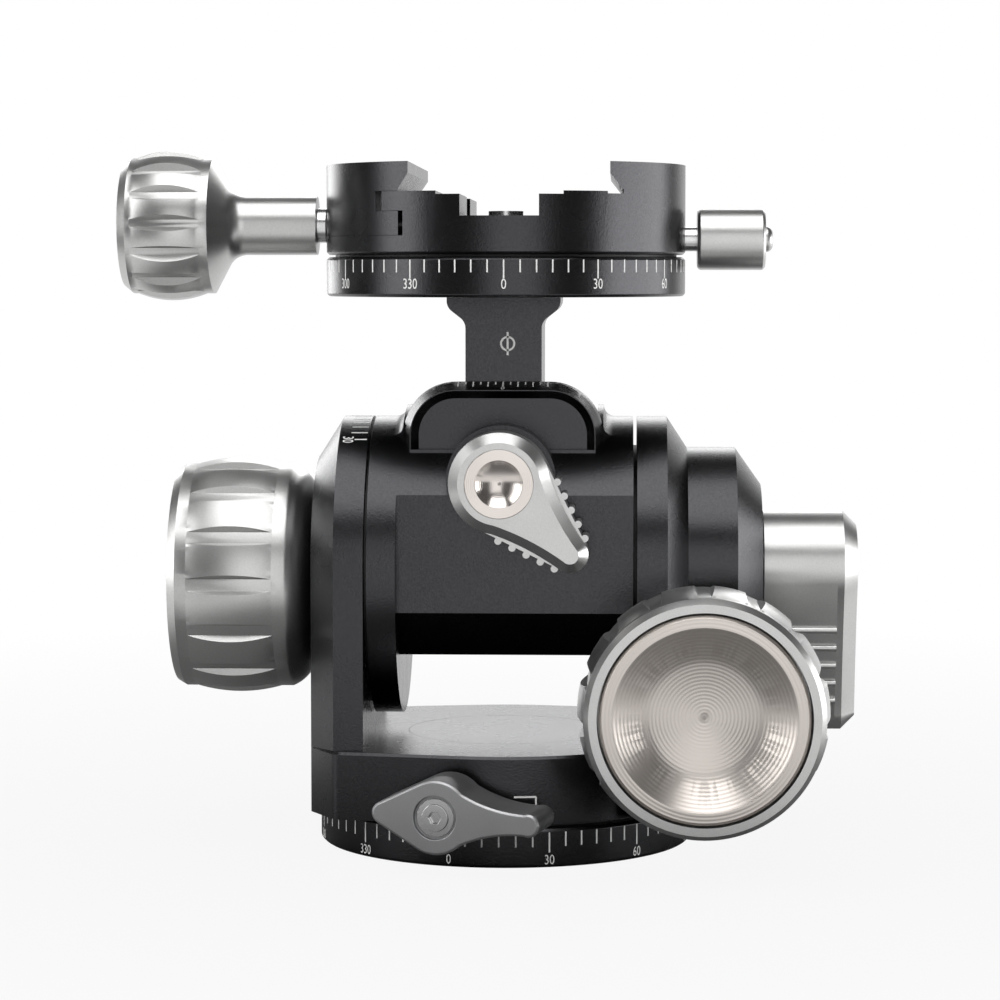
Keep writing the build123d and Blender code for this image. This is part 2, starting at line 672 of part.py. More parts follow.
# ---------------------------------------------------------------- drum
roll_bore_end = tilt_shaft_start - clutch_thickness
with BuildPart() as drum_housing:
    flange_x = drum_left + drum_flange
    with BuildSketch(side_plane(flange_x)):
        Circle(cheek_radius)
        with BuildLine():
            Polyline(
                (drum_bevel - drum_front, -drum_depth), (drum_front - drum_bevel, -drum_depth),
                (drum_front, drum_bevel - drum_depth), (drum_front, cheek_radius),
                (-drum_front, cheek_radius), (-drum_front, drum_bevel - drum_depth),
                close=True,
            )
        make_face(mode=Mode.INTERSECT)
    extrude(amount=drum_right - flange_x)
    with BuildSketch(side_plane(drum_left)):
        Circle(cheek_radius)
    extrude(amount=drum_flange)
    # arch: highest at the ridge, sloping down to its front rim and to the back
    for near_y, far_y in ((-arch_depth, -arch_ridge), (arch_depth, -arch_ridge)):
        for y, inset in ((near_y, arch_slope), (far_y, 0)):
            with BuildSketch(front_plane(y)):
                with BuildLine():
                    half, top = arch_half_width - inset, arch_top_z - inset
                    FilletPolyline(
                        (-half, tilt_z), (-half, top), (half, top), (half, tilt_z),
                        radius=arch_corner - inset,
                    )
                    Line((half, tilt_z), (-half, tilt_z))
                make_face()
        loft(ruled=True)
    # the arch's flanks run out onto the drum in a hollow
    foot_turn = radians(90 - arch_foot_half_angle)
    foot_plane = Plane(
        origin=(0, 0, tilt_z), x_dir=(1, 0, 0), z_dir=(0, -sin(foot_turn), cos(foot_turn))
    )
    foot_x, foot_r = arch_half_width + arch_foot_fillet, cheek_radius + arch_foot_fillet
    for side in (-1, 1):
        with BuildSketch(foot_plane):
            with BuildLine():
                RadiusArc(
                    (side * foot_x, cheek_radius), (side * arch_half_width, foot_r),
                    side * arch_foot_fillet,
                )
                Polyline(
                    (side * arch_half_width, foot_r), (side * (arch_half_width - 1), foot_r),
                    (side * (arch_half_width - 1), cheek_radius - 1),
                    (side * foot_x, cheek_radius - 1), (side * foot_x, cheek_radius),
                )
            make_face()
        revolve(axis=tilt_axis, revolution_arc=2 * arch_foot_half_angle)
    # recessed panel with a bevelled edge
    panel_inset = arch_slope + arch_panel_rim
    for y, inset in (
        (-arch_depth, panel_inset), (arch_panel_depth - arch_depth, panel_inset + arch_panel_depth),
    ):
        with BuildSketch(front_plane(y)):
            with BuildLine():
                half, top = arch_half_width - inset, arch_top_z - inset
                FilletPolyline(
                    (-half, arch_panel_bottom_z), (-half, top), (half, top),
                    (half, arch_panel_bottom_z),
                    radius=arch_corner - inset,
                )
                Line((half, arch_panel_bottom_z), (-half, arch_panel_bottom_z))
            make_face()
    loft(ruled=True, mode=Mode.SUBTRACT)
    # bosses for the roll lever in front and the pivot's nut behind
    with BuildSketch(front_plane(0, z=roll_z)):
        Circle(lever_boss_radius)
    extrude(amount=lever_boss_front)
    with BuildSketch(front_plane(rear_boss_back, z=roll_z)):
        Circle(rear_boss_radius)
    extrude(amount=rear_boss_back)
    # chamber of the sector and the slot that the neck swings in
    with BuildSketch(front_plane(neck_half_depth + slide_gap, z=roll_z)):
        Circle(roll_gear_radius + roll_module + slide_gap + backlash)
        slot_half = (neck_half_width + slide_gap) / cos(radians(roll_limit))
        slot_height = arch_top_z - roll_z
        slot_top = slot_half + slot_height * tan(radians(roll_limit))
        with BuildLine():
            Polyline((-slot_half, 0), (slot_half, 0), (slot_top, slot_height),
                     (-slot_top, slot_height), close=True)
        make_face()
    extrude(amount=2 * (neck_half_depth + slide_gap), mode=Mode.SUBTRACT)
    with BuildSketch(front_plane(rear_boss_back, z=roll_z)):
        Circle(pivot_radius + seat_gap)
    extrude(amount=rear_boss_back + lever_boss_front, mode=Mode.SUBTRACT)
    # trunnions, the roll worm's bore and the tilt shaft's seat
    with BuildSketch(side_plane(left_outer + left_wall + slide_gap)):
        Circle(left_trunnion_radius)
    extrude(amount=drum_left - left_outer - left_wall - slide_gap)
    with BuildSketch(side_plane(drum_right)):
        Circle(right_trunnion_radius)
    extrude(amount=worm_x - tilt_gear_width / 2 - drum_right - seat_gap)
    with BuildSketch(side_plane(left_outer + left_wall, roll_worm_z)):
        Circle(worm_bore_radius)
    extrude(amount=roll_bore_end - left_outer - left_wall, mode=Mode.SUBTRACT)
    with BuildSketch(side_plane(tilt_shaft_start)):
        Circle(tilt_shaft_radius + seat_gap)
    extrude(amount=worm_x - tilt_shaft_start, mode=Mode.SUBTRACT)
drum_housing.part.label = "drum_housing"
export_step(drum_housing.part, "parts/drum_housing.step")

with BuildPart() as left_friction_washer:
    with BuildSketch(side_plane(left_inner + thrust_gap)):
        Circle(drum_washer_radius)
        Circle(left_trunnion_radius + seat_gap, mode=Mode.SUBTRACT)
    extrude(amount=drum_left - left_inner - thrust_gap)
left_friction_washer.part.label = "left_friction_washer"
export_step(left_friction_washer.part, "parts/left_friction_washer.step")

with BuildPart() as right_friction_washer:
    with BuildSketch(side_plane(drum_right)):
        Circle(drum_washer_right_radius)
        Circle(right_trunnion_radius + seat_gap, mode=Mode.SUBTRACT)
    extrude(amount=right_inner - drum_right - thrust_gap)
right_friction_washer.part.label = "right_friction_washer"
export_step(right_friction_washer.part, "parts/right_friction_washer.step")

with BuildPart() as tilt_shaft:
    with BuildSketch(side_plane(tilt_shaft_start)):
        Circle(tilt_shaft_radius)
    extrude(amount=housing_outer - housing_end_wall - slide_gap - tilt_shaft_start)
tilt_shaft.part.label = "tilt_shaft"
export_step(tilt_shaft.part, "parts/tilt_shaft.step")

with BuildPart() as clutch_plate:
    with BuildSketch(side_plane(worm_x + tilt_gear_width / 2)):
        Circle(clutch_radius)
        Circle(tilt_shaft_radius + seat_gap, mode=Mode.SUBTRACT)
    extrude(amount=clutch_thickness)
clutch_plate.part.label = "clutch_plate"
export_step(clutch_plate.part, "parts/clutch_plate.step")

with BuildPart() as roll_worm_bushes:
    for bush_start in (
        -roll_bore_end, roll_bore_end - worm_bush_length, drum_left - worm_bush_length,
    ):
        with BuildSketch(side_plane(bush_start, roll_worm_z)):
            Circle(worm_bore_radius - seat_gap)
            Circle(worm_shaft_radius + running_gap, mode=Mode.SUBTRACT)
        extrude(amount=worm_bush_length)
roll_worm_bushes.part.label = "roll_worm_bushes"
export_step(roll_worm_bushes.part, "parts/roll_worm_bushes.step")

with BuildPart() as roll_pivot_pin:
    with BuildSketch(front_plane(rear_boss_back, z=roll_z)):
        Circle(pivot_radius)
    extrude(amount=rear_boss_back + lever_boss_front)
    with BuildSketch(front_plane(-lever_boss_front, z=roll_z)):
        Circle(lever_stud_radius)
    extrude(amount=lever_thickness - button_thickness)
roll_pivot_pin.part.label = "roll_pivot_pin"
export_step(roll_pivot_pin.part, "parts/roll_pivot_pin.step")

with BuildPart() as roll_pivot_nut:
    with BuildSketch(front_plane(rear_boss_back + pivot_nut_height, z=roll_z)):
        Circle(pivot_nut_radius)
    extrude(amount=pivot_nut_height)
    chamfer(roll_pivot_nut.edges().group_by(Axis.Y)[-1], edge_break)
    with BuildSketch(front_plane(rear_boss_back + pivot_nut_height, z=roll_z)):
        RegularPolygon(pivot_radius / 2, 6, major_radius=False)
    extrude(amount=pivot_nut_height / 2, mode=Mode.SUBTRACT)
roll_pivot_nut.part.label = "roll_pivot_nut"
export_step(roll_pivot_nut.part, "parts/roll_pivot_nut.step")

# ---------------------------------------------------------------- roll arm
ring_screw_places = [(x, y) for x in (-ring_screw_x, ring_screw_x) for y in (-ring_screw_y, ring_screw_y)]
with BuildPart() as neck:
    flare_low_z = neck_top_z - neck_flare_length
    flare_high_z = neck_top_z - neck_flare_flat
    with BuildSketch(front_plane(neck_half_depth)):
        with BuildLine():
            Polyline(
                (-neck_half_width, roll_z), (-neck_half_width, flare_low_z),
                (-neck_flare_half_width, flare_high_z), (-neck_flare_half_width, neck_top_z),
                (neck_flare_half_width, neck_top_z), (neck_flare_half_width, flare_high_z),
                (neck_half_width, flare_low_z), (neck_half_width, roll_z),
                close=True,
            )
        make_face()
        with Locations((0, roll_z)):
            Circle(neck_boss_radius)
    extrude(amount=2 * neck_half_depth)
    flare_edges = neck.edges().filter_by(Axis.Y).filter_by_position(
        Axis.Z, flare_low_z - seat_gap, flare_high_z + seat_gap
    )
    fillet(flare_edges, neck_fillet)
    with BuildSketch(front_plane(neck_half_depth, z=roll_z)):
        Circle(pivot_radius + running_gap)
    extrude(amount=2 * neck_half_depth, mode=Mode.SUBTRACT)
    # slot for the sector
    with BuildSketch(front_plane(sector_width / 2 + seat_gap)):
        with Locations((0, roll_z + neck_boss_radius / 2 + seat_gap)):
            Rectangle(3 * neck_boss_radius, 2 * neck_boss_radius,
                      align=(Align.CENTER, Align.MAX))
    extrude(amount=sector_width + 2 * seat_gap, mode=Mode.SUBTRACT)
    with BuildSketch(Plane.XY.offset(neck_top_z)):
        with Locations(*ring_screw_places):
            Circle(screw_shank_radius + seat_gap)
    extrude(amount=-ring_screw_depth, mode=Mode.SUBTRACT)
neck.part.label = "neck"
export_step(neck.part, "parts/neck.step")

with BuildPart() as roll_sector:
    outer_radius = roll_gear_radius + roll_module
    gap_count = 2 * int(sector_half_angle * roll_teeth / 360) + 1
    gap_range = (gap_count - 1) * 360 / roll_teeth
    with BuildSketch(front_plane(sector_width / 2, z=roll_z)):
        Circle(outer_radius)
        with PolarLocations(roll_gear_radius, gap_count, start_angle=-90 - gap_range / 2,
                            angular_range=gap_range, endpoint=True):
            tooth_gap(roll_module, helix_drift(sector_width, roll_worm_radius, roll_module))
        with BuildLine():
            edge_x = 2 * outer_radius * sin(radians(sector_half_angle))
            edge_y = 2 * outer_radius * cos(radians(sector_half_angle))
            Polyline((0, 0), (edge_x, -edge_y), (-edge_x, -edge_y), close=True)
        make_face(mode=Mode.INTERSECT)
        Circle(neck_boss_radius - seat_gap)
        with Locations((0, neck_boss_radius / 2)):
            Rectangle(2 * outer_radius, outer_radius, align=(Align.CENTER, Align.MIN),
                      mode=Mode.SUBTRACT)
        Circle(pivot_radius + running_gap, mode=Mode.SUBTRACT)
    extrude(amount=sector_width)
roll_sector.part.label = "roll_sector"
export_step(roll_sector.part, "parts/roll_sector.step")

with BuildPart() as roll_worm:
    roll_worm_seat = Plane(origin=(0, 0, roll_worm_z), x_dir=(0, 0, 1), z_dir=(1, 0, 0))
    blank = worm(
        roll_worm_radius, roll_module, knob_back_x - knob_bore_depth, roll_bore_end - slide_gap
    )
    add(blank.moved(roll_worm_seat.location))
roll_worm.part.label = "roll_worm"
export_step(roll_worm.part, "parts/roll_worm.step")

with BuildPart() as top_scale_ring:
    with BuildSketch(Plane.XY.offset(neck_top_z)):
        Circle(ring_radius)
    extrude(amount=ring_top_z - neck_top_z)
    chamfer(circles_of(top_scale_ring, ring_radius), edge_break)
    with BuildSketch(Plane.XY.offset(ring_top_z)):
        Circle(spindle_flange_radius + seat_gap)
    extrude(amount=-spindle_flange, mode=Mode.SUBTRACT)
    with BuildSketch(Plane.XY.offset(ring_top_z)):
        with Locations(*ring_screw_places):
            Circle(screw_shank_radius + seat_gap)
    extrude(amount=neck_top_z - ring_top_z, mode=Mode.SUBTRACT)
top_scale_ring.part.label = "top_scale_ring"
export_step(top_scale_ring.part, "parts/top_scale_ring.step")

with BuildPart() as top_spindle:
    with BuildSketch(Plane.XY.offset(ring_top_z - spindle_flange)):
        Circle(spindle_flange_radius)
    extrude(amount=spindle_flange)
    with BuildSketch(Plane.XY.offset(ring_top_z)):
        Circle(spindle_radius)
    extrude(amount=spindle_top_z - ring_top_z)
    with BuildSketch(Plane.XY.offset(spindle_top_z)):
        Circle(cap_screw_radius + seat_gap)
    extrude(amount=-cap_screw_depth, mode=Mode.SUBTRACT)
    with Locations(Plane.XY.offset(ring_top_z)):
        with Locations(*ring_screw_places):
            CounterBoreHole(
                screw_shank_radius + seat_gap, screw_head_radius + seat_gap, screw_head_height,
                spindle_flange,
            )
top_spindle.part.label = "top_spindle"
export_step(top_spindle.part, "parts/top_spindle.step")

with BuildPart() as ring_screws:
    with BuildSketch(Plane.XY.offset(ring_top_z)):
        with Locations(*ring_screw_places):
            Circle(screw_head_radius)
    extrude(amount=-screw_head_height)
    with BuildSketch(Plane.XY.offset(ring_top_z)):
        with Locations(*ring_screw_places):
            Circle(screw_shank_radius)
    extrude(amount=neck_top_z - ring_screw_depth - ring_top_z)
ring_screws.part.label = "ring_screws"
export_step(ring_screws.part, "parts/ring_screws.step")

with BuildPart() as clamp_washer:
    with BuildSketch(Plane.XY.offset(ring_top_z)):
        Circle(washer_outer)
        Circle(spindle_flange_radius + slide_gap, mode=Mode.SUBTRACT)
    extrude(amount=clamp_gap - thrust_gap)
clamp_washer.part.label = "clamp_washer"
export_step(clamp_washer.part, "parts/clamp_washer.step")

with BuildPart() as clamp_retainer:
    with BuildSketch(Plane.XY.offset(spindle_top_z)):
        Circle(clamp_retainer_radius)
        Circle(cap_screw_radius + seat_gap, mode=Mode.SUBTRACT)
    extrude(amount=clamp_retainer_height)
clamp_retainer.part.label = "clamp_retainer"
export_step(clamp_retainer.part, "parts/clamp_retainer.step")

with BuildPart() as clamp_retainer_screw:
    retainer_top_z = spindle_top_z + clamp_retainer_height
    with BuildSketch(Plane.XY.offset(retainer_top_z)):
        Circle(2 * cap_screw_radius)
    extrude(amount=screw_head_height)
    with BuildSketch(Plane.XY.offset(retainer_top_z)):
        Circle(cap_screw_radius)
    extrude(amount=seat_gap - cap_screw_depth)
    with BuildSketch(Plane.XY.offset(retainer_top_z + screw_head_height)):
        RegularPolygon(cap_screw_radius, 6)
    extrude(amount=-screw_head_height / 2, mode=Mode.SUBTRACT)
clamp_retainer_screw.part.label = "clamp_retainer_screw"
export_step(clamp_retainer_screw.part, "parts/clamp_retainer_screw.step")

# ---------------------------------------------------------------- panning clamp
outside = ring_radius + over_cut
pivot_floor_z = spindle_top_z - thrust_gap
with BuildPart() as clamp_body:
    with BuildSketch(Plane.XY.offset(clamp_bottom_z)):
        Circle(ring_radius)
    extrude(amount=clamp_top_z - clamp_bottom_z)
    # the space over the bed and over the moving jaw's shelf
    with BuildSketch(front_plane(outside)):
        with BuildLine():
            Polyline(
                (-outside, tongue_bottom_z), (tongue_end, tongue_bottom_z),
                (tongue_end, tongue_top_z), (jaw_split, tongue_top_z), (jaw_split, clamp_bed_z),
                (fixed_root, clamp_bed_z), (fixed_tip, jaw_tip_z), (fixed_tip, clamp_top_z + over_cut),
                (-outside, clamp_top_z + over_cut),
                close=True,
            )
        make_face()
        with Locations((0, clamp_bed_z)):
            Rectangle(2 * bed_groove_half_width, 2 * bed_groove_depth)
        with Locations((fixed_root, clamp_bed_z)):
            Rectangle(bed_corner_groove, 2 * bed_corner_depth, align=(Align.MAX, Align.CENTER))
        with Locations((0, notch_floor_z)):
            Rectangle(2 * notch_half_width, clamp_bed_z - notch_floor_z,
                      align=(Align.CENTER, Align.MIN))
    extrude(amount=2 * outside, mode=Mode.SUBTRACT)
    chamfer(circles_of(clamp_body, ring_radius).group_by(Axis.Z)[0], edge_break)
    # bearing on the spindle and the pocket of its retainer
    with BuildSketch(Plane.XY.offset(clamp_bottom_z)):
        Circle(spindle_radius + running_gap)
    extrude(amount=clamp_top_z - clamp_bottom_z, mode=Mode.SUBTRACT)
    with BuildSketch(Plane.XY.offset(pivot_floor_z)):
        Circle(clamp_retainer_radius + slide_gap)
    extrude(amount=clamp_top_z - pivot_floor_z, mode=Mode.SUBTRACT)
    # relief for the flange of the jaw's bush as the jaw closes
    with BuildSketch(side_plane(-outside, clamp_screw_z)):
        Circle(bush_flange_radius + slide_gap)
    extrude(amount=outside + bush_flange_x + jaw_closing + slide_gap, mode=Mode.SUBTRACT)
    # holes for the moving jaw's screw, its clip and its guide pins
    with BuildSketch(side_plane(tongue_end, clamp_screw_z)):
        Circle(clamp_screw_radius + running_gap)
    extrude(amount=screw_hole_end - tongue_end, mode=Mode.SUBTRACT)
    with BuildSketch(side_plane(tongue_end, clamp_screw_z)):
        Circle(clip_pocket_radius)
    extrude(amount=clip_pocket_end - tongue_end, mode=Mode.SUBTRACT)
    with BuildSketch(side_plane(tongue_end, clamp_screw_z)):
        with Locations((-guide_pin_offset, 0), (guide_pin_offset, 0)):
            Circle(guide_pin_radius + seat_gap)
    extrude(amount=guide_pin_end - tongue_end, mode=Mode.SUBTRACT)
    # hole for the screw that locks the pan
    with BuildSketch(side_plane(lock_pad_end, lock_z)):
        Circle(lock_screw_radius + running_gap)
    extrude(amount=outside - lock_pad_end, mode=Mode.SUBTRACT)
    with BuildSketch(side_plane(0, lock_z)):
        Circle(lock_pad_radius + seat_gap)
    extrude(amount=lock_pad_end, mode=Mode.SUBTRACT)
clamp_body.part.label = "clamp_body"
export_step(clamp_body.part, "parts/clamp_body.step")

with BuildPart() as jaw_guide_pins:
    with BuildSketch(side_plane(guide_pin_start, clamp_screw_z)):
        with Locations((-guide_pin_offset, 0), (guide_pin_offset, 0)):
            Circle(guide_pin_radius)
    extrude(amount=guide_pin_end - guide_pin_start)
jaw_guide_pins.part.label = "jaw_guide_pins"
export_step(jaw_guide_pins.part, "parts/jaw_guide_pins.step")

with BuildPart() as moving_jaw:
    jaw_face = tongue_end - tongue_gap
    jaw_root = jaw_split - jaw_split_gap
    with BuildSketch(front_plane(outside)):
        with BuildLine():
            Polyline(
                (-outside, tongue_bottom_z + jaw_clearance),
                (jaw_face, tongue_bottom_z + jaw_clearance),
                (jaw_face, tongue_top_z - jaw_clearance), (jaw_root, tongue_top_z - jaw_clearance),
                (jaw_root, clamp_bed_z + jaw_clearance), (moving_root, clamp_bed_z + jaw_clearance),
                (moving_tip, jaw_tip_z), (moving_tip, clamp_top_z), (-outside, clamp_top_z),
                close=True,
            )
        make_face()
    extrude(amount=2 * outside)
    with BuildSketch(Plane.XY):
        Circle(ring_radius)
    extrude(amount=clamp_top_z + over_cut, mode=Mode.INTERSECT)
    with BuildSketch(side_plane(-outside, clamp_screw_z)):
        Circle(clamp_screw_radius + running_gap)
    extrude(amount=outside + jaw_face, mode=Mode.SUBTRACT)
    with BuildSketch(side_plane(-outside, clamp_screw_z)):
        Circle(bush_radius + seat_gap)
    extrude(amount=outside + bush_end, mode=Mode.SUBTRACT)
    with BuildSketch(side_plane(guide_hole_end, clamp_screw_z)):
        with Locations((-guide_pin_offset, 0), (guide_pin_offset, 0)):
            Circle(guide_pin_radius + running_gap)
    extrude(amount=jaw_face - guide_hole_end, mode=Mode.SUBTRACT)
moving_jaw.part.label = "moving_jaw"
export_step(moving_jaw.part, "parts/moving_jaw.step")

with BuildPart() as clamp_screw_bush:
    with BuildSketch(side_plane(small_neck_x + thrust_gap, clamp_screw_z)):
        Circle(bush_radius)
        Circle(clamp_screw_radius + running_gap, mode=Mode.SUBTRACT)
    extrude(amount=bush_end - small_neck_x - thrust_gap)
    with BuildSketch(side_plane(small_neck_x + thrust_gap, clamp_screw_z)):
        Circle(bush_flange_radius)
        Circle(clamp_screw_radius + running_gap, mode=Mode.SUBTRACT)
    extrude(amount=bush_flange_x - small_neck_x - thrust_gap)
clamp_screw_bush.part.label = "clamp_screw_bush"
export_step(clamp_screw_bush.part, "parts/clamp_screw_bush.step")

with BuildPart() as clamp_screw:
    with BuildSketch(side_plane(clamp_screw_start, clamp_screw_z)):
        Circle(clamp_screw_radius)
    extrude(amount=clamp_screw_end - clamp_screw_start)
clamp_screw.part.label = "clamp_screw"
export_step(clamp_screw.part, "parts/clamp_screw.step")

with BuildPart() as screw_clip:
    with BuildSketch(side_plane(clip_start, clamp_screw_z)):
        Circle(clip_radius)
        Circle(clamp_screw_radius + seat_gap, mode=Mode.SUBTRACT)
    extrude(amount=clip_end - clip_start)
screw_clip.part.label = "screw_clip"
export_step(screw_clip.part, "parts/screw_clip.step")

with BuildPart() as clamp_knob:
    # turned outline: radius against distance along the screw
    knob_outline = Plane(origin=(0, 0, clamp_screw_z), x_dir=(1, 0, 0), z_dir=(0, -1, 0))
    with BuildSketch(knob_outline):
        with BuildLine():
            Line((small_neck_x, 0), (small_neck_x, small_neck_radius))
            FilletPolyline(
                (small_neck_x, small_neck_radius), (small_cone_x, small_neck_radius),
                (small_back_x, small_band_radius),
                radius=small_cone_fillet,
            )
            Line((small_back_x, small_band_radius), (small_back_band_x, small_band_radius))
            ThreePointArc(
                (small_back_band_x, small_band_radius),
                ((small_back_band_x + small_front_band_x) / 2, small_crown_radius),
                (small_front_band_x, small_band_radius),
            )
            Polyline(
                (small_front_band_x, small_band_radius),
                (small_front_band_x - small_front_band, small_band_radius),
                (small_face_x, small_face_radius), (small_face_x, 0), (small_neck_x, 0),
            )
        make_face()
    revolve(axis=Axis((0, 0, clamp_screw_z), (1, 0, 0)))
    with BuildSketch(side_plane(small_front_band_x, clamp_screw_z)):
        with PolarLocations(small_band_radius, small_flutes, start_angle=small_flute_start):
            flute(small_crown_radius - small_band_radius, small_flute_floor)
    extrude(amount=small_back_band_x - small_front_band_x, mode=Mode.SUBTRACT)
    with BuildSketch(side_plane(small_face_x, clamp_screw_z)):
        Circle(small_cap_radius + seat_gap)
    extrude(amount=small_cap_thickness, mode=Mode.SUBTRACT)
    with BuildSketch(side_plane(clamp_screw_start, clamp_screw_z)):
        Circle(clamp_screw_radius + seat_gap)
    extrude(amount=small_neck_x - clamp_screw_start, mode=Mode.SUBTRACT)
clamp_knob.part.label = "clamp_knob"
export_step(clamp_knob.part, "parts/clamp_knob.step")

with BuildPart() as clamp_knob_cap:
    with BuildSketch(side_plane(small_face_x, clamp_screw_z)):
        Circle(small_cap_radius)
    extrude(amount=small_cap_thickness)
    with BuildSketch(side_plane(small_face_x, clamp_screw_z)):
        Circle(small_cap_radius - 2 * edge_break)
    extrude(amount=edge_break, mode=Mode.SUBTRACT)
clamp_knob_cap.part.label = "clamp_knob_cap"
export_step(clamp_knob_cap.part, "parts/clamp_knob_cap.step")

with BuildPart() as top_brake_pad:
    with BuildSketch(side_plane(0, lock_z)):
        Circle(lock_pad_radius)
    extrude(amount=lock_pad_end)
    # its inner end is hollowed to fit the spindle
    with BuildSketch(Plane.XY):
        Circle(spindle_radius + running_gap)
    extrude(amount=clamp_top_z, mode=Mode.SUBTRACT)
top_brake_pad.part.label = "top_brake_pad"
export_step(top_brake_pad.part, "parts/top_brake_pad.step")

with BuildPart() as top_lock_screw:
    with BuildSketch(side_plane(lock_pad_end + thrust_gap, lock_z)):
        Circle(lock_screw_radius)
    extrude(amount=lock_screw_end - lock_pad_end - thrust_gap)
top_lock_screw.part.label = "top_lock_screw"
export_step(top_lock_screw.part, "parts/top_lock_screw.step")

with BuildPart() as top_lock_knob:
    with BuildSketch(side_plane(lock_knob_start, lock_z)):
        Circle(lock_knob_radius)
    extrude(amount=lock_knob_end - lock_knob_start)
    chamfer(circles_of(top_lock_knob, lock_knob_radius), edge_break)
    with BuildSketch(side_plane(lock_knob_end, lock_z)):
        Circle(lock_button_radius)
    extrude(amount=lock_button)
    fillet(top_lock_knob.edges().group_by(Axis.X)[-1], lock_button_fillet)
    with BuildSketch(side_plane(lock_knob_start, lock_z)):
        Circle(lock_screw_radius + seat_gap)
    extrude(amount=lock_screw_end - lock_knob_start, mode=Mode.SUBTRACT)
top_lock_knob.part.label = "top_lock_knob"
export_step(top_lock_knob.part, "parts/top_lock_knob.step")


# ---------------------------------------------------------------- large knobs
def large_knob(flute_start):
    """A fluted knob about z, from the back of its hub at z = 0 to its recessed face."""
    crown_z = knob_cone + knob_back_band
    front_band_z = crown_z + knob_crown
    nose_z = front_band_z + knob_front_band
    with BuildPart() as blank:
        with BuildSketch(Plane.XZ):
            with BuildLine():
                Line((0, 0), (knob_back_radius, 0))
                SagittaArc(
                    (knob_back_radius, 0), (knob_band_radius, knob_cone), -knob_back_bulge
                )
                Line((knob_band_radius, knob_cone), (knob_band_radius, crown_z))
                ThreePointArc(
                    (knob_band_radius, crown_z), (knob_crown_radius, crown_z + knob_crown / 2),
                    (knob_band_radius, front_band_z),
                )
                Polyline(
                    (knob_band_radius, front_band_z), (knob_band_radius, nose_z),
                    (knob_face_radius, knob_length - knob_nose / 2),
                    (knob_face_radius - edge_break, knob_length), (0, knob_length), (0, 0),
                )
            make_face()
        revolve(axis=Axis.Z)
        with BuildSketch(Plane.XY.offset(crown_z)):
            with PolarLocations(knob_band_radius, knob_flutes, start_angle=flute_start):
                flute(knob_crown_radius - knob_band_radius, knob_flute_floor)
        extrude(amount=knob_crown, mode=Mode.SUBTRACT)
        with BuildSketch(Plane.XY.offset(knob_length)):
            Circle(knob_recess_radius)
        extrude(amount=-dish_thickness, mode=Mode.SUBTRACT)
        with BuildSketch(Plane.XY):
            Circle(worm_shaft_radius + seat_gap)
        extrude(amount=knob_length, mode=Mode.SUBTRACT)
    return blank.part


def large_dish():
    """The dished insert of a large knob, in the knob's own frame."""
    with BuildPart() as blank:
        low = knob_length - dish_thickness
        with BuildSketch(Plane.XZ):
            with BuildLine():
                centre = (0, knob_length - dish_centre_depth)
                floor_edge = (dish_floor_radius, knob_length - dish_depth)
                Polyline(
                    centre, (0, low), (dish_radius, low), (dish_radius, knob_length - edge_break),
                    (dish_radius - edge_break, knob_length), (dish_rim_radius, knob_length),
                    floor_edge,
                )
                TangentArc(centre, floor_edge, tangent=(1, 0))
            make_face()
        revolve(axis=Axis.Z)
    return blank.part


front_knob_seat = Plane(origin=(worm_x, knob_back_y, worm_z), x_dir=(1, 0, 0), z_dir=(0, -1, 0))
left_knob_seat = Plane(origin=(knob_back_x, 0, roll_worm_z), x_dir=(0, -1, 0), z_dir=(-1, 0, 0))
for seat, flute_start, name in (
    (front_knob_seat, tilt_knob_flute_start, "tilt_knob"),
    (left_knob_seat, roll_knob_flute_start, "roll_knob"),
):
    knob = large_knob(flute_start).moved(seat.location)
    knob.label = name
    export_step(knob, f"parts/{name}.step")
    dish = large_dish().moved(seat.location)
    dish.label = f"{name}_dish"
    export_step(dish, f"parts/{name}_dish.step")


# ---------------------------------------------------------------- locking levers
def tapered_arm(head_radius, tip_radius, reach, waist, turn=0.0):
    """An arm with hollow flanks from a round head at the origin to a smaller round tip."""
    spread = degrees(acos((head_radius - tip_radius) / reach))
    tip = Vector(reach, 0).rotate(Axis.Z, turn)
    left = Vector(1, 0).rotate(Axis.Z, turn + spread)
    right = Vector(1, 0).rotate(Axis.Z, turn - spread)
    with BuildSketch() as outline:
        Circle(head_radius)
        with Locations(tip):
            Circle(tip_radius)
        with BuildLine():
            SagittaArc(left * head_radius, tip + left * tip_radius, -waist)
            Line(tip + left * tip_radius, tip + right * tip_radius)
            SagittaArc(tip + right * tip_radius, right * head_radius, -waist)
            Line(right * head_radius, left * head_radius)
        make_face()
    return outline.sketch


def lever(head_radius, tip_radius, reach, thickness, bevel, first_rib, pitch):
    """A teardrop lever: its head at the origin, its tip along x and its back at z = 0."""
    lean = (head_radius - tip_radius) / reach
    with BuildPart() as blank:
        with BuildSketch(Plane.XY):
            add(tapered_arm(head_radius, tip_radius, reach, lever_waist))
        extrude(amount=thickness - bevel)
        for inset in (0, bevel):
            with BuildSketch(Plane.XY.offset(thickness - bevel + inset)):
                add(tapered_arm(head_radius - inset, tip_radius - inset, reach, lever_waist))
        loft(ruled=True)
        # grips behind the bevel: straight flanks that stand out from the hollow ones, with ribs
        with BuildSketch(Plane.XY):
            Circle(head_radius)
            with Locations((reach, 0)):
                Circle(tip_radius)
            make_hull()
            for number in range(rib_count):
                along = first_rib + number * pitch
                across = (head_radius - along * lean) / cos(asin(lean)) + rib_rise
                with Locations((along, across), (along, -across)):
                    Circle(rib_radius)
        extrude(amount=thickness - bevel - grip_setback)
        with BuildSketch(Plane.XY.offset(thickness)):
            Circle(button_radius + seat_gap)
        extrude(amount=-button_thickness, mode=Mode.SUBTRACT)
    return blank.part


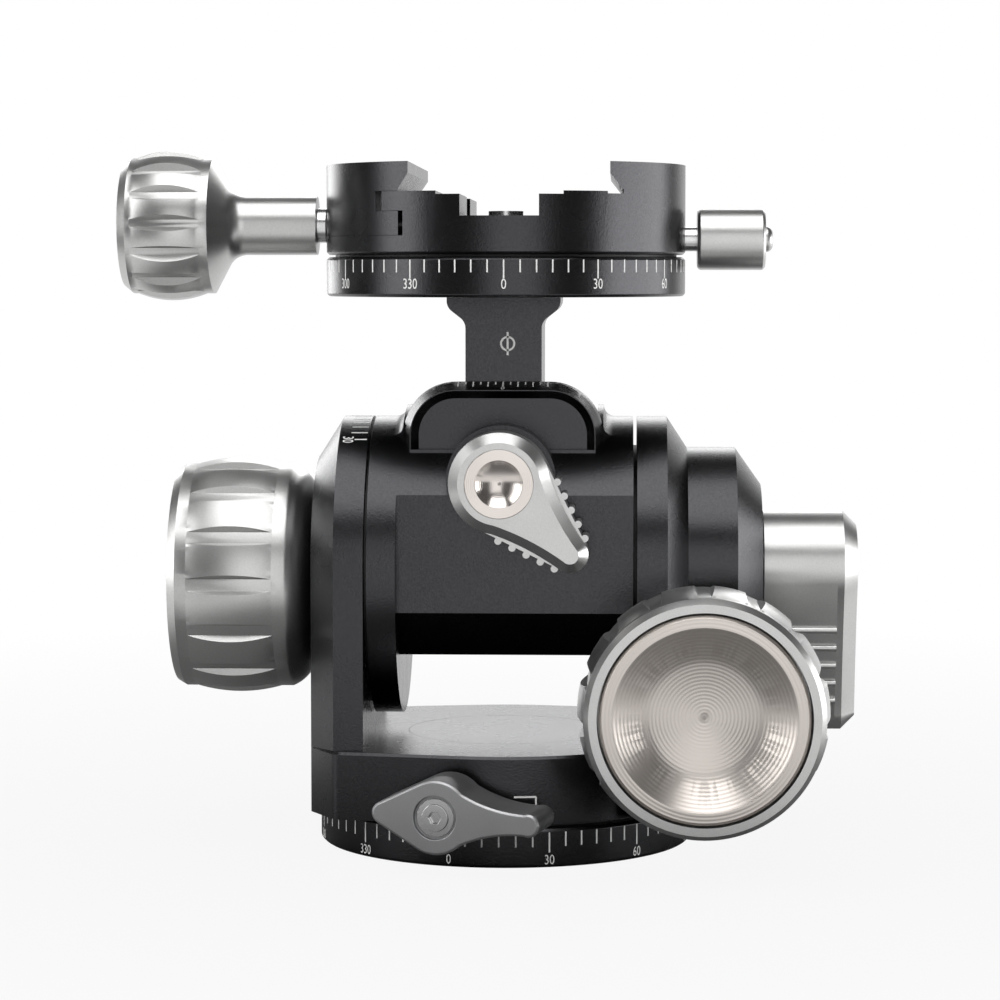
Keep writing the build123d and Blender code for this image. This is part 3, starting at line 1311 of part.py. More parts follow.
def lever_button():
    """The dished button in a lever's head, with its back at z = 0."""
    with BuildPart() as blank:
        with BuildSketch(Plane.XZ):
            with BuildLine():
                dish_edge = (button_dish_radius, button_thickness)
                centre = (0, button_thickness - button_depth)
                Polyline(
                    centre, (0, 0), (button_radius, 0), (button_radius, button_thickness),
                    dish_edge,
                )
                TangentArc(centre, dish_edge, tangent=(1, 0))
            make_face()
        revolve(axis=Axis.Z)
    return blank.part


lever_back_y = -lever_boss_front - slide_gap
lever_turn = radians(roll_lever_angle)
roll_lever_seat = Plane(
    origin=(0, lever_back_y, roll_z), x_dir=(cos(lever_turn), 0, sin(lever_turn)),
    z_dir=(0, -1, 0),
)
with BuildPart() as roll_lever:
    blank = lever(
        lever_head_radius, lever_tip_radius, lever_reach, lever_thickness, lever_bevel,
        rib_start, rib_pitch,
    )
    add(blank.moved(roll_lever_seat.location))
    with BuildSketch(front_plane(lever_back_y, z=roll_z)):
        Circle(lever_stud_radius + running_gap)
    extrude(amount=lever_thickness, mode=Mode.SUBTRACT)
roll_lever.part.label = "roll_lever"
export_step(roll_lever.part, "parts/roll_lever.step")

roll_lever_button = lever_button().moved(
    roll_lever_seat.offset(lever_thickness - button_thickness).location
)
roll_lever_button.label = "roll_lever_button"
export_step(roll_lever_button, "parts/roll_lever_button.step")

side_lever_seat = Plane(origin=(side_start, 0, tilt_z), x_dir=(0, 0, -1), z_dir=(1, 0, 0))
with BuildPart() as tilt_lever:
    blank = lever(
        side_head_radius, lever_tip_radius, side_reach, side_thickness, side_bevel,
        side_rib_start, side_rib_pitch,
    )
    add(blank.moved(side_lever_seat.location))
    with BuildSketch(side_plane(side_start)):
        Circle(thrust_pin_radius + seat_gap)
    extrude(amount=thrust_pin_seat, mode=Mode.SUBTRACT)
tilt_lever.part.label = "tilt_lever"
export_step(tilt_lever.part, "parts/tilt_lever.step")

tilt_lever_button = lever_button().moved(
    side_lever_seat.offset(side_thickness - button_thickness).location
)
tilt_lever_button.label = "tilt_lever_button"
export_step(tilt_lever_button, "parts/tilt_lever_button.step")

with BuildPart() as tilt_thrust_pin:
    pin_start = housing_outer - housing_end_wall
    with BuildSketch(side_plane(pin_start)):
        Circle(thrust_pin_radius)
    extrude(amount=side_start + thrust_pin_seat - pin_start)
tilt_thrust_pin.part.label = "tilt_thrust_pin"
export_step(tilt_thrust_pin.part, "parts/tilt_thrust_pin.step")

# ---------------------------------------------------------------- pan lock
def wing_outline(inset):
    """The wing seen along its screw, drawn in by the inset: a short arm and a long hollow one."""
    droop = degrees(asin(wing_right_drop / wing_right_reach))
    with BuildSketch() as outline:
        Circle(wing_hub_radius - inset)
        with Locations((-wing_left_reach, wing_left_rise)):
            Circle(wing_left_radius - inset)
        make_hull()
        add(tapered_arm(
            wing_hub_radius - inset, wing_right_radius - inset, wing_right_reach, wing_waist,
            -droop,
        ))
    return outline.sketch


with BuildPart() as pan_wing:
    with BuildSketch(lock_plane(wing_front - wing_thickness)):
        add(wing_outline(0))
    extrude(amount=wing_thickness - wing_edge)
    for inset in (0, wing_edge):
        with BuildSketch(lock_plane(wing_front - wing_edge + inset)):
            add(wing_outline(inset))
    loft(ruled=True)
    with BuildSketch(lock_plane(wing_front)):
        Circle(wing_recess_radius)
    extrude(amount=-wing_recess_depth, mode=Mode.SUBTRACT)
    with BuildSketch(lock_plane(wing_front)):
        Circle(wing_screw_radius + seat_gap)
    extrude(amount=-wing_thickness, mode=Mode.SUBTRACT)
pan_wing.part.label = "pan_wing"
export_step(pan_wing.part, "parts/pan_wing.step")

wing_seat_radius = wing_front - wing_recess_depth
with BuildPart() as pan_wing_screw:
    stud_start = hub_radius + shoe_length + thrust_gap
    with BuildSketch(lock_plane(stud_start)):
        Circle(wing_screw_radius)
    extrude(amount=wing_seat_radius - stud_start)
    with BuildSketch(lock_plane(wing_seat_radius)):
        Circle(wing_screw_head_radius)
    extrude(amount=wing_recess_depth)
    with BuildSketch(lock_plane(wing_front)):
        RegularPolygon(wing_screw_head_radius / 2, 6)
    extrude(amount=-wing_recess_depth, mode=Mode.SUBTRACT)
pan_wing_screw.part.label = "pan_wing_screw"
export_step(pan_wing_screw.part, "parts/pan_wing_screw.step")

with BuildPart() as pan_wing_washer:
    with BuildSketch(lock_plane(wing_seat_radius)):
        Circle(wing_washer_radius)
        Circle(wing_screw_head_radius + seat_gap, mode=Mode.SUBTRACT)
    extrude(amount=wing_recess_depth / 2)
pan_wing_washer.part.label = "pan_wing_washer"
export_step(pan_wing_washer.part, "parts/pan_wing_washer.step")
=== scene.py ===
# Geared tripod head on a pale table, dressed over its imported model
import json
from math import atan2, cos, pi, radians, sin

import bmesh
import bpy
from mathutils import Matrix, Vector

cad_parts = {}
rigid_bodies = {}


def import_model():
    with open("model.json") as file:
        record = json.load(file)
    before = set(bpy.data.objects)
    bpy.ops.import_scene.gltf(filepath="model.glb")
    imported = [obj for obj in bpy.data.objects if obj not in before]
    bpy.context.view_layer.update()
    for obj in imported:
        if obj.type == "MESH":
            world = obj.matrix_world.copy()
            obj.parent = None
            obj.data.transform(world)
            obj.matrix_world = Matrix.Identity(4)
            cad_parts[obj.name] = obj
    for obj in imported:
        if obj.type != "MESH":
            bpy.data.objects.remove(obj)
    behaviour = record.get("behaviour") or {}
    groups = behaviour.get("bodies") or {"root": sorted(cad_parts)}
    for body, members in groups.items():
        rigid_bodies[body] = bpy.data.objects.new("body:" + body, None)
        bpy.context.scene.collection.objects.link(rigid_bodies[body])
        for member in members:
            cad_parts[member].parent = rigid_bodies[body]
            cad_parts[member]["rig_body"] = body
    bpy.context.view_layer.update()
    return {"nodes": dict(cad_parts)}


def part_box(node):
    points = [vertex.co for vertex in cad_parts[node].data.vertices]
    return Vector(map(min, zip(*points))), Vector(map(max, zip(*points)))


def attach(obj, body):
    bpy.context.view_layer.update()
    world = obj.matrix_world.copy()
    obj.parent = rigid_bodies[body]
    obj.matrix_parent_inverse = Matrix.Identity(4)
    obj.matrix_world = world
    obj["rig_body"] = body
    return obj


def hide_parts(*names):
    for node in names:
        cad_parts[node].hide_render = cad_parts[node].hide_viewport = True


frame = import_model()
mm = 0.001

# camera, from the fitted view of the photograph
camera = {"place": (0.019961, -0.538153, 0.098652), "lens": 111.54, "down": 4.24, "turn": 2.235}
lens = bpy.data.cameras.new("photoCamera")
lens.lens = camera["lens"]
lens.sensor_width = 36
lens.clip_start = 0.01
eye = bpy.data.objects.new("photoCamera", lens)
eye.location = camera["place"]
eye.rotation_euler = (radians(90 - camera["down"]), 0, radians(camera["turn"]))
bpy.context.scene.collection.objects.link(eye)
bpy.context.scene.camera = eye


def linear(hexColour):
    # a colour written as sRGB, turned linear
    channels = []
    for place in (1, 3, 5):
        level = int(hexColour[place:place + 2], 16) / 255
        channels.append(level / 12.92 if level <= 0.04045 else ((level + 0.055) / 1.055) ** 2.4)
    return (*channels, 1)


def addNode(tree, kind, settings=None, links=None):
    # settings name sockets or node properties; links give a socket's source
    node = tree.nodes.new(kind)
    for key, value in (settings or {}).items():
        if isinstance(key, str) and hasattr(node, key):
            setattr(node, key, value)
        else:
            node.inputs[key].default_value = value
    for key, source in (links or {}).items():
        tree.links.new(source, node.inputs[key])
    return node


def startMaterial(name):
    material = bpy.data.materials.new(name)
    material.use_nodes = True
    material.node_tree.nodes.clear()
    return material, material.node_tree


def endMaterial(tree, shader):
    addNode(tree, "ShaderNodeOutputMaterial", links={"Surface": shader.outputs[0]})


def grainHeight(tree, size):
    # a noise whose grains are about the given size
    place = addNode(tree, "ShaderNodeTexCoord").outputs["Object"]
    return addNode(tree, "ShaderNodeTexNoise", {"Scale": 1 / size, "Detail": 2.0}, {"Vector": place})


def blastedSkin(name, look):
    # a blasted skin: fine grain in colour and height, a little uneven in its roughness
    material, tree = startMaterial(name)
    grain = grainHeight(tree, look["grain"])
    cloud = grainHeight(tree, look["cloud"])
    rough = addNode(tree, "ShaderNodeMapRange", {
        "From Min": 0.3, "From Max": 0.7,
        "To Min": look["roughness"] - look["uneven"], "To Max": look["roughness"] + look["uneven"],
    }, {"Value": cloud.outputs["Fac"]})
    tint = addNode(tree, "ShaderNodeMix", {
        "data_type": "RGBA", 6: linear(look["dark"]), 7: linear(look["colour"]),
    }, {"Factor": grain.outputs["Fac"]})
    bump = addNode(tree, "ShaderNodeBump", {
        "Strength": look["bump"], "Distance": look["grain"] / 2,
    }, {"Height": grain.outputs["Fac"]})
    shader = addNode(tree, "ShaderNodeBsdfPrincipled", {"Metallic": look["metallic"]}, {
        "Base Color": tint.outputs[2], "Roughness": rough.outputs["Result"],
        "Normal": bump.outputs["Normal"],
    })
    endMaterial(tree, shader)
    return material


def turnedFace(name, look):
    # a lathe-turned face: round grooves that spread each reflection outwards from its centre
    material, tree = startMaterial(name)
    place = addNode(tree, "ShaderNodeTexCoord").outputs["Object"]
    centred = addNode(tree, "ShaderNodeVectorMath", {
        "operation": "SUBTRACT", 1: look["centre"],
    }, {0: place})
    flat = addNode(tree, "ShaderNodeVectorMath", {
        "operation": "MULTIPLY", 1: [0 if axis == look["axis"] else 1 for axis in range(3)],
    }, {0: centred.outputs[0]})
    outward = addNode(tree, "ShaderNodeVectorTransform", {
        "vector_type": "VECTOR", "convert_from": "OBJECT", "convert_to": "WORLD",
    }, {0: flat.outputs[0]})
    reach = addNode(tree, "ShaderNodeVectorMath", {"operation": "LENGTH"}, {0: flat.outputs[0]})
    turns = addNode(tree, "ShaderNodeMath", {
        "operation": "MULTIPLY", 1: 2 * pi / look["groove"],
    }, {0: reach.outputs["Value"]})
    wave = addNode(tree, "ShaderNodeMath", {"operation": "SINE"}, {0: turns.outputs[0]})
    grooves = addNode(tree, "ShaderNodeBump", {
        "Strength": look["grooveBump"], "Distance": look["groove"] / 12,
    }, {"Height": wave.outputs[0]})
    shader = addNode(tree, "ShaderNodeBsdfPrincipled", {
        "Base Color": linear(look["colour"]), "Metallic": 1.0, "Roughness": look["roughness"],
        "Anisotropic": look["spread"],
    }, {"Normal": grooves.outputs["Normal"], "Tangent": outward.outputs[0]})
    endMaterial(tree, shader)
    return material


# black anodised aluminium, bead-blasted: a dark satin metal that mirrors the studio dimly; the
# blast grain is near 0.1 mm and drawn at 0.3 mm so that it shows
blackLook = {
    "colour": "#4C4C4E", "dark": "#343436", "grain": 0.3 * mm, "cloud": 6 * mm,
    "roughness": 0.27, "uneven": 0.01, "bump": 0.18, "metallic": 1.0,
}
# clear anodised aluminium, bead-blasted: pale silver with soft-edged reflections
silverLook = {
    "colour": "#CDCDCC", "dark": "#B8B8B7", "grain": 0.26 * mm, "cloud": 5 * mm,
    "roughness": 0.33, "uneven": 0.02, "bump": 0.05, "metallic": 1.0,
}
# clear anodised aluminium, warm tone: the flat rims round the turned faces
champagneLook = {
    "colour": "#D2CCC6", "dark": "#C4BEB8", "grain": 0.26 * mm, "cloud": 5 * mm,
    "roughness": 0.42, "uneven": 0.02, "bump": 0.05, "metallic": 1.0,
}
# grey anodised plate, blasted: flat mid grey
greyLook = {
    "colour": "#B6B6B7", "dark": "#A2A2A4", "grain": 0.14 * mm, "cloud": 5 * mm,
    "roughness": 0.45, "uneven": 0.03, "bump": 0.08, "metallic": 1.0,
}
# stainless steel, turned fine: bright with tight reflections
steelLook = {
    "colour": "#DCDCDC", "dark": "#C8C8C9", "grain": 0.20 * mm, "cloud": 3 * mm,
    "roughness": 0.24, "uneven": 0.03, "bump": 0.03, "metallic": 1.0,
}
# machined brass, a little dull
brassLook = {
    "colour": "#C9A255", "dark": "#B08C45", "grain": 0.25 * mm, "cloud": 3 * mm,
    "roughness": 0.32, "uneven": 0.05, "bump": 0.03, "metallic": 1.0,
}
# black nylon, moulded: dull and dark
nylonLook = {
    "colour": "#1C1C1C", "dark": "#141414", "grain": 0.4 * mm, "cloud": 5 * mm,
    "roughness": 0.5, "uneven": 0.03, "bump": 0.02, "metallic": 0.0,
}
# white ink filled into the engraved marks: matt
inkLook = {
    "colour": "#F2F2F0", "dark": "#E4E4E2", "grain": 0.2 * mm, "cloud": 2 * mm,
    "roughness": 0.6, "uneven": 0.02, "bump": 0.02, "metallic": 0.0,
}
finishes = {
    "blackAnodised": blastedSkin("blackAnodised", blackLook),
    "silverAnodised": blastedSkin("silverAnodised", silverLook),
    "champagneAnodised": blastedSkin("champagneAnodised", champagneLook),
    "greyAnodised": blastedSkin("greyAnodised", greyLook),
    "turnedSteel": blastedSkin("turnedSteel", steelLook),
    "machinedBrass": blastedSkin("machinedBrass", brassLook),
    "blackNylon": blastedSkin("blackNylon", nylonLook),
    "whiteInk": blastedSkin("whiteInk", inkLook),
}

# turned faces, champagne anodised: axis is the one they were turned about, and rim the radius
# past which the face is blasted, not turned; the real grooves are finer and drawn coarser to show
turnedFaces = {
    "tilt_knob_dish": {"axis": 1, "groove": 0.6 * mm, "roughness": 0.36, "spread": 0.35,
                       "grooveBump": 0.16, "rim": 14.8 * mm, "colour": "#D0C9C3"},
    "roll_knob_dish": {"axis": 0, "groove": 0.6 * mm, "roughness": 0.36, "spread": 0.35,
                       "grooveBump": 0.16, "rim": 14.8 * mm, "colour": "#D0C9C3"},
    "roll_lever_button": {"axis": 1, "groove": 0.3 * mm, "roughness": 0.22, "spread": 0.5,
                          "grooveBump": 0.1, "rim": 1.0, "colour": "#D0C9C4"},
    "tilt_lever_button": {"axis": 0, "groove": 0.3 * mm, "roughness": 0.22, "spread": 0.5,
                          "grooveBump": 0.1, "rim": 1.0, "colour": "#D0C9C4"},
    "clamp_knob_cap": {"axis": 0, "groove": 0.3 * mm, "roughness": 0.22, "spread": 0.5,
                       "grooveBump": 0.1, "rim": 1.0, "colour": "#D0C9C4"},
}
for node, look in turnedFaces.items():
    low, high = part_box(node)
    look["centre"] = (low + high) / 2
    finishes[node] = turnedFace(node + "Turned", look)
print("materials made")


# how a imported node's loose triangles are joined: edges under sharp degrees are smoothed
joining = {"merge": 0.0005 * mm, "flat": 0.4, "sharp": 26}


def dress(node, finish, edge):
    # a merged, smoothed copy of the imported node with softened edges
    source = frame["nodes"][node]
    mesh = source.data.copy()
    mesh.name = node + "Skin"
    skin = bpy.data.objects.new(node + "Skin", mesh)
    bpy.context.scene.collection.objects.link(skin)
    shape = bmesh.new()
    shape.from_mesh(mesh)
    bmesh.ops.remove_doubles(shape, verts=shape.verts, dist=joining["merge"])
    bmesh.ops.dissolve_limit(
        shape, angle_limit=radians(joining["flat"]), verts=shape.verts, edges=shape.edges,
        use_dissolve_boundaries=False,
    )
    look = turnedFaces.get(node)
    for face in shape.faces:
        face.smooth = True
        face.material_index = 0
        if look:
            reaches = []
            for vertex in face.verts:
                away = vertex.co - look["centre"]
                away[look["axis"]] = 0
                reaches.append(away.length)
            if min(reaches) >= look["rim"]:
                face.material_index = 1
    for line in shape.edges:
        if len(line.link_faces) == 2:
            line.smooth = line.calc_face_angle(pi) < radians(joining["sharp"])
    shape.to_mesh(mesh)
    shape.free()
    mesh.materials.clear()
    mesh.materials.append(finishes[finish])
    if look:
        mesh.materials.append(finishes["champagneAnodised"])
    if edge:
        soften = skin.modifiers.new("softEdges", "BEVEL")
        soften.width = edge * mm
        soften.segments = 2
        soften.limit_method = "ANGLE"
        soften.angle_limit = radians(joining["sharp"])
        soften.harden_normals = True
        soften.use_clamp_overlap = True
    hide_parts(node)
    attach(skin, source["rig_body"])


# node: finish, edge radius in mm
wardrobe = {
    "base_plate": ("blackAnodised", 0.15), "yoke_frame": ("blackAnodised", 0.3),
    "gear_housing": ("blackAnodised", 0.35), "floor_cap": ("blackAnodised", 0.1),
    "drum_housing": ("blackAnodised", 0.25), "neck": ("blackAnodised", 0.3),
    "top_scale_ring": ("blackAnodised", 0.15), "clamp_body": ("blackAnodised", 0.2),
    "moving_jaw": ("blackAnodised", 0.2), "roll_pivot_nut": ("blackAnodised", 0.1),
    "tilt_knob": ("silverAnodised", 0.12), "roll_knob": ("silverAnodised", 0.12),
    "clamp_knob": ("silverAnodised", 0.12), "top_lock_knob": ("silverAnodised", 0.15),
    "roll_lever": ("silverAnodised", 0.2), "tilt_lever": ("silverAnodised", 0.25),
    "tilt_knob_dish": ("tilt_knob_dish", 0.06), "roll_knob_dish": ("roll_knob_dish", 0.06),
    "roll_lever_button": ("roll_lever_button", 0.1),
    "tilt_lever_button": ("tilt_lever_button", 0.1),
    "clamp_knob_cap": ("clamp_knob_cap", 0.08), "pan_wing": ("greyAnodised", 0.2),
    "pan_wing_screw": ("turnedSteel", 0.08), "pan_wing_washer": ("turnedSteel", 0.05),
    "clamp_screw_bush": ("turnedSteel", 0.08), "top_lock_screw": ("turnedSteel", 0.1),
    "clamp_screw": ("turnedSteel", 0), "top_brake_pad": ("machinedBrass", 0),
}
for node, (finish, edge) in wardrobe.items():
    dress(node, finish, edge)
plainNodes = {
    "turnedSteel": ["thread_insert", "retainer_screws", "housing_screws", "tilt_shaft",
                    "roll_pivot_pin", "tilt_thrust_pin", "tilt_worm", "roll_worm", "clutch_plate",
                    "ring_screws", "top_spindle", "clamp_retainer", "clamp_retainer_screw",
                    "jaw_guide_pins", "screw_clip"],
    "machinedBrass": ["tilt_worm_wheel", "roll_sector", "left_bush", "right_bush",
                      "tilt_worm_bushes", "roll_worm_bushes", "pan_brake_shoe"],
    "silverAnodised": ["pan_retainer"],
    "blackNylon": ["pan_washer", "left_friction_washer", "right_friction_washer", "clamp_washer"],
}
for finish, nodes in plainNodes.items():
    for node in nodes:
        for place in frame["nodes"][node].material_slots:
            place.material = finishes[finish]
print("nodes dressed")


def addPiece(name, shape, body, finish):
    mesh = bpy.data.meshes.new(name)
    shape.to_mesh(mesh)
    shape.free()
    mesh.materials.append(finishes[finish])
    piece = bpy.data.objects.new(name, mesh)
    bpy.context.scene.collection.objects.link(piece)
    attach(piece, body)


def addBar(shape, place, width, length, thickness):
    # a flat bar: width along x, length along y, thickness along z of its place
    size = Matrix.Diagonal((width, length, thickness, 1))
    bmesh.ops.create_cube(shape, size=1, matrix=place @ size)


def onRing(azimuth, radius, height):
    # a place on an upright cylinder: x along it to the right, y up, z out of it
    turn = Matrix.Rotation(azimuth, 4, "Z")
    stand = Matrix.Rotation(pi / 2, 4, "X")
    return turn @ Matrix.Translation((0, -radius, height)) @ stand


# the font's digits stand this share of its size, and are squeezed in width as the real ones are
digitShape = {"capShare": 0.72, "squeeze": 0.78}


def addWords(shape, words, height, bend, place):
    # digits of that height, centred, wrapped on a cylinder of radius bend whose axis is local y
    letters = bpy.data.curves.new("digits", "FONT")
    letters.body = words
    letters.align_x = "CENTER"
    letters.align_y = "CENTER"
    letters.size = height / digitShape["capShare"]
    letters.resolution_u = 3
    holder = bpy.data.objects.new("digits", letters)
    flat = bpy.data.meshes.new_from_object(holder)
    flat.transform(Matrix.Diagonal((digitShape["squeeze"], 1, 1, 1)))
    if bend:
        for vertex in flat.vertices:
            angle = vertex.co.x / bend
            vertex.co = Vector((bend * sin(angle), vertex.co.y, bend * cos(angle) - bend))
    flat.transform(place)
    shape.from_mesh(flat)
    bpy.data.meshes.remove(flat)
    bpy.data.objects.remove(holder)


# white marks stand this much proud of the skin, as ink does
inkRise = 0.015 * mm
# degrees from tick to tick on the round scales, and how many ticks from number to number
graduation = {"step": 5, "numbered": 6}
ringScales = {
    "baseScale": {"body": "base_group", "radius": 32.3, "top": 5.95, "short": 2.4, "long": 3.4,
                  "digits": 1.65, "digitsAt": 1.3, "zero": -15.0, "width": 0.26},
    "topScale": {"body": "roll_arm_group", "radius": 31.0, "top": 100.42, "short": 2.1, "long": 3.1,
                 "digits": 1.75, "digitsAt": 96.35, "zero": 1.4, "width": 0.24},
}
for name, scale in ringScales.items():
    shape = bmesh.new()
    for step in range(360 // graduation["step"]):
        numbered = step % graduation["numbered"] == 0
        azimuth = radians(scale["zero"] + graduation["step"] * step)
        length = scale["long"] if numbered else scale["short"]
        place = onRing(azimuth, scale["radius"] * mm, (scale["top"] - length / 2) * mm)
        addBar(shape, place, scale["width"] * mm, length * mm, 2 * inkRise)
        if numbered:
            radius = scale["radius"] * mm + inkRise
            place = onRing(azimuth, radius, scale["digitsAt"] * mm)
            addWords(shape, str(graduation["step"] * step), scale["digits"] * mm, radius, place)
    addPiece(name, shape, scale["body"], "whiteInk")

# index of the pan scale on the collar: a level line with a tick down at its right end
collarMark = {"radius": 31.5, "z": 11.8, "from": 4.5, "to": 11.2, "steps": 8, "line": 0.3,
              "tick": 1.3}
shape = bmesh.new()
stride = (collarMark["to"] - collarMark["from"]) / collarMark["steps"]
for step in range(collarMark["steps"]):
    azimuth = radians(collarMark["from"] + (step + 0.5) * stride)
    place = onRing(azimuth, collarMark["radius"] * mm, collarMark["z"] * mm)
    addBar(shape, place, radians(stride) * collarMark["radius"] * mm, collarMark["line"] * mm,
           2 * inkRise)
place = onRing(radians(collarMark["to"]), collarMark["radius"] * mm,
               (collarMark["z"] - collarMark["tick"] / 2) * mm)
addBar(shape, place, collarMark["line"] * mm, collarMark["tick"] * mm, 2 * inkRise)
addPiece("collarMark", shape, "yoke_group", "whiteInk")
print("ring scales made")

tiltScale = {"radius": 25.85, "axisZ": 47.56, "from": -26.0, "to": -23.2, "short": -25.3,
             "digits": 1.9, "digitsAt": -26.5, "width": 0.26, "count": 6}
shape = bmesh.new()
for step in range(-tiltScale["count"], tiltScale["count"] + 1):
    # x runs forwards round the rim, y towards the drum
    numbered = step % graduation["numbered"] == 0
    turn = Matrix.Rotation(radians(graduation["step"] * step), 4, "X")
    face = Matrix.Rotation(-pi / 2, 4, "Z")
    outer = tiltScale["short"] if numbered else tiltScale["from"]
    lift = Matrix.Translation(((outer + tiltScale["to"]) / 2 * mm, 0, tiltScale["radius"] * mm))
    centre = Matrix.Translation((0, 0, tiltScale["axisZ"] * mm))
    addBar(shape, centre @ turn @ lift @ face, tiltScale["width"] * mm,
           (tiltScale["to"] - outer) * mm, 2 * inkRise)
    if numbered:
        radius = tiltScale["radius"] * mm + inkRise
        lift = Matrix.Translation((tiltScale["digitsAt"] * mm, 0, radius))
        addWords(shape, str(abs(graduation["step"] * step)), tiltScale["digits"] * mm, radius,
                 centre @ turn @ lift @ face)
addPiece("tiltScale", shape, "yoke_group", "whiteInk")

# ticks on the arch's sloping top, every other one long, and a nought under the middle one
rollScale = {"z": 79.8, "ridge": -12.0, "drop": 1.3, "depth": 4.0, "pitch": 1.27, "count": 6,
             "long": 2.3, "short": 1.3, "back": 0.15, "width": 0.24, "nought": 1.3,
             "noughtAt": -3.3}
slope = atan2(rollScale["drop"], rollScale["depth"])
band = Matrix.Translation((0, rollScale["ridge"] * mm, rollScale["z"] * mm)) @ Matrix.Rotation(
    slope, 4, "X")
shape = bmesh.new()
for step in range(-rollScale["count"], rollScale["count"] + 1):
    length = rollScale["short"] if step % 2 else rollScale["long"]
    place = Matrix.Translation((step * rollScale["pitch"] * mm, -(rollScale["back"] + length / 2) * mm, 0))
    addBar(shape, band @ place, rollScale["width"] * mm, length * mm, 2 * inkRise)
addWords(shape, "0", rollScale["nought"] * mm, 0,
         band @ Matrix.Translation((0, rollScale["noughtAt"] * mm, inkRise)))
addPiece("rollScale", shape, "drum_group", "whiteInk")

# index on the neck: a ring with an upright line through it
neckMark = {"x": 0.7, "z": 86.23, "front": -11.3, "radius": 0.96, "line": 0.33, "height": 3.95}
shape = bmesh.new()
place = Matrix.Translation((neckMark["x"] * mm, neckMark["front"] * mm, neckMark["z"] * mm)) @ \
    Matrix.Rotation(pi / 2, 4, "X")
bmesh.ops.create_circle(shape, segments=40, radius=neckMark["radius"] * mm)
rim = [line for line in shape.edges]
outer = bmesh.ops.extrude_edge_only(shape, edges=rim)
outerVerts = [item for item in outer["geom"] if isinstance(item, bmesh.types.BMVert)]
bmesh.ops.scale(shape, verts=outerVerts, vec=[1 + neckMark["line"] / neckMark["radius"]] * 3)
bmesh.ops.translate(shape, verts=shape.verts, vec=(0, 0, inkRise))
bmesh.ops.recalc_face_normals(shape, faces=shape.faces)
addBar(shape, Matrix.Identity(4), neckMark["line"] * mm, neckMark["height"] * mm, 2 * inkRise)
bmesh.ops.transform(shape, matrix=place, verts=shape.verts)
addPiece("neckMark", shape, "roll_arm_group", "whiteInk")
print("marks made")

# studio: large soft lamps round the table; glow is each lamp's brightness, where white is 1
studio = {
    "topBox": {
        "place": (0.0, -0.24, 0.69), "aim": (0, 0, 0.06), "size": (0.56, 0.68), "glow": 2.1,
    },
    "leftBox": {
        "place": (-0.58, -0.24, 0.3), "aim": (0, 0, 0.06), "size": (0.35, 0.66), "glow": 2.4,
    },
    "rightBox": {
        "place": (0.6, 0.04, 0.05), "aim": (0, 0, 0.05), "size": (0.66, 0.34), "glow": 3.2,
    },
    "backLeftBox": {
        "place": (-0.55, 0.73, 0.2), "aim": (0, 0, 0.06), "size": (0.4, 0.5), "glow": 2.4,
    },
    "backBox": {
        "place": (0.1, 0.85, 0.42), "aim": (0, 0, 0.06), "size": (0.6, 0.35), "glow": 1.8,
    },
    "frontBox": {
        "place": (0.12, -0.95, 0.05), "aim": (0, 0, 0.06), "size": (0.62, 0.95), "glow": 1.0,
    },
}
for name, lamp in studio.items():
    light = bpy.data.lights.new(name, "AREA")
    light.shape = "RECTANGLE"
    light.size, light.size_y = lamp["size"]
    light.energy = 4 * light.size * light.size_y * lamp["glow"]
    holder = bpy.data.objects.new(name, light)
    holder.location = lamp["place"]
    aim = Vector(lamp["aim"]) - Vector(lamp["place"])
    holder.rotation_euler = aim.to_track_quat("-Z", "Y").to_euler()
    holder.visible_camera = False
    bpy.context.scene.collection.objects.link(holder)

# table of matt pale paper: to the camera it fades to the white behind it, and keeps the shadow
table = {"radius": 0.36, "paper": "#6E6E6E", "near": 0.05, "far": 0.33, "nearShare": 0.91,
         "mirrorFrom": 0.095, "mirrorTo": 0.15}
shape = bmesh.new()
bmesh.ops.create_circle(shape, cap_ends=True, segments=96, radius=table["radius"])
mesh = bpy.data.meshes.new("floor")
shape.to_mesh(mesh)
shape.free()
floor = bpy.data.objects.new("floor", mesh)
bpy.context.scene.collection.objects.link(floor)
paper, tree = startMaterial("whitePaper")
matt = addNode(tree, "ShaderNodeBsdfDiffuse", {"Color": linear(table["paper"])})
glow = addNode(tree, "ShaderNodeEmission", {"Color": (1, 1, 1, 1), "Strength": 1.0})
path = addNode(tree, "ShaderNodeLightPath")
place = addNode(tree, "ShaderNodeTexCoord").outputs["Object"]
reach = addNode(tree, "ShaderNodeVectorMath", {"operation": "LENGTH"}, {0: place})
seenShare = addNode(tree, "ShaderNodeMapRange", {
    "From Min": table["near"], "From Max": table["far"], "To Min": table["nearShare"], "To Max": 1.0,
}, {"Value": reach.outputs["Value"]})
mirrorShare = addNode(tree, "ShaderNodeMapRange", {
    "From Min": table["mirrorFrom"], "From Max": table["mirrorTo"], "To Min": 0.0, "To Max": 1.0,
}, {"Value": reach.outputs["Value"]})
mirrored = addNode(tree, "ShaderNodeMath", {"operation": "MAXIMUM"}, {
    0: path.outputs["Is Glossy Ray"], 1: path.outputs["Is Transmission Ray"],
})
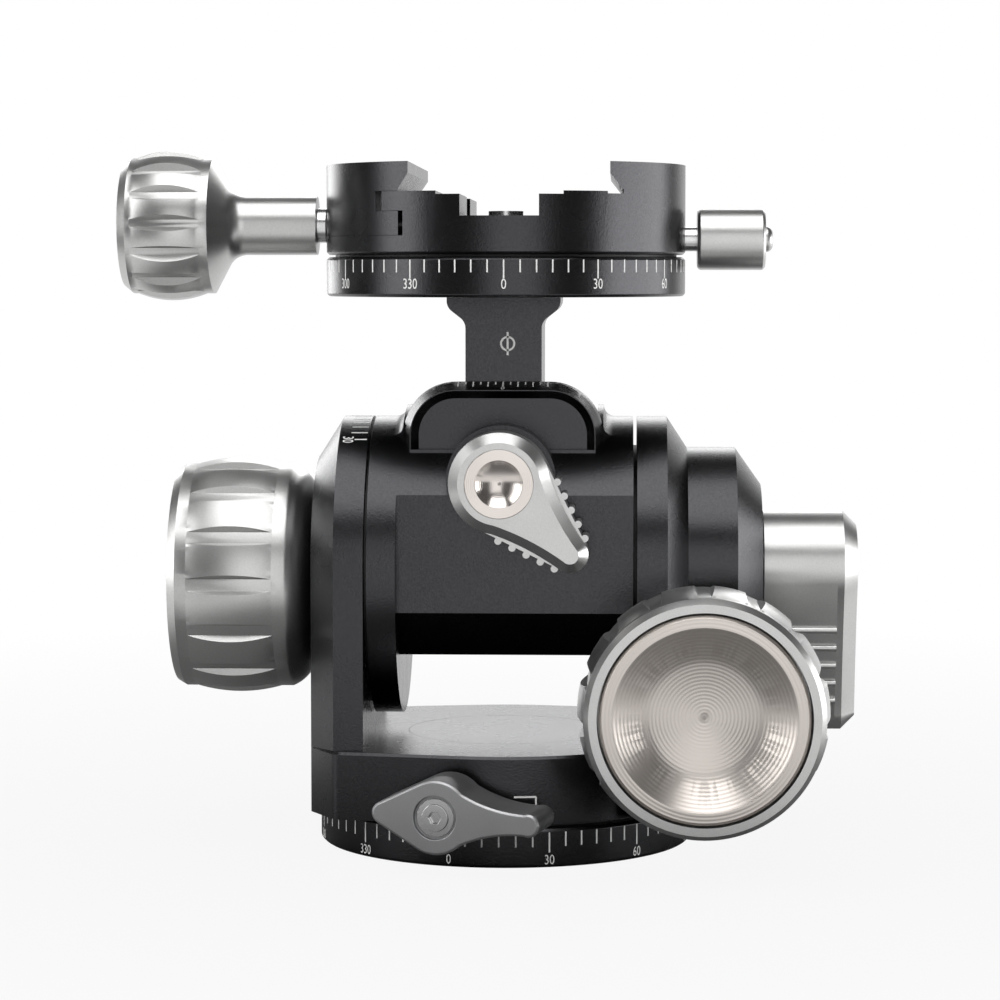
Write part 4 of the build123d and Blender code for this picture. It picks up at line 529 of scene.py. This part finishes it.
seenPart = addNode(tree, "ShaderNodeMath", {"operation": "MULTIPLY"}, {
    0: path.outputs["Is Camera Ray"], 1: seenShare.outputs["Result"],
})
mirrorPart = addNode(tree, "ShaderNodeMath", {"operation": "MULTIPLY"}, {
    0: mirrored.outputs[0], 1: mirrorShare.outputs["Result"],
})
share = addNode(tree, "ShaderNodeMath", {"operation": "MAXIMUM"}, {
    0: seenPart.outputs[0], 1: mirrorPart.outputs[0],
})
mixed = addNode(tree, "ShaderNodeMixShader", links={
    0: share.outputs[0], 1: matt.outputs[0], 2: glow.outputs[0],
})
endMaterial(tree, mixed)
mesh.materials.append(paper)

# the room: white to the camera; metal sees a white backdrop straight behind and dim walls elsewhere
room = {"wall": 0.08, "fill": 0.45, "edgeFrom": 0.68, "edgeTo": 0.84}
world = bpy.data.worlds.new("studioRoom")
bpy.context.scene.world = world
world.use_nodes = True
tree = world.node_tree
tree.nodes.clear()
path = addNode(tree, "ShaderNodeLightPath")
place = addNode(tree, "ShaderNodeTexCoord").outputs["Generated"]
parts = addNode(tree, "ShaderNodeSeparateXYZ", links={0: place})
backdrop = addNode(tree, "ShaderNodeMapRange", {
    "From Min": room["edgeFrom"], "From Max": room["edgeTo"], "To Min": room["wall"], "To Max": 1.0,
}, {"Value": parts.outputs["Y"]})
mirrored = addNode(tree, "ShaderNodeMath", {"operation": "MAXIMUM"}, {
    0: path.outputs["Is Glossy Ray"], 1: path.outputs["Is Transmission Ray"],
})
indirect = addNode(tree, "ShaderNodeMix", {"data_type": "FLOAT", 2: room["fill"]}, {
    0: mirrored.outputs[0], 3: backdrop.outputs["Result"],
})
strength = addNode(tree, "ShaderNodeMath", {"operation": "MAXIMUM"}, {
    0: indirect.outputs[0], 1: path.outputs["Is Camera Ray"],
})
sky = addNode(tree, "ShaderNodeBackground", {"Color": (1, 1, 1, 1)}, {
    "Strength": strength.outputs[0],
})
addNode(tree, "ShaderNodeOutputWorld", links={"Surface": sky.outputs[0]})
bpy.context.scene.view_settings.view_transform = "Standard"
print("studio made")
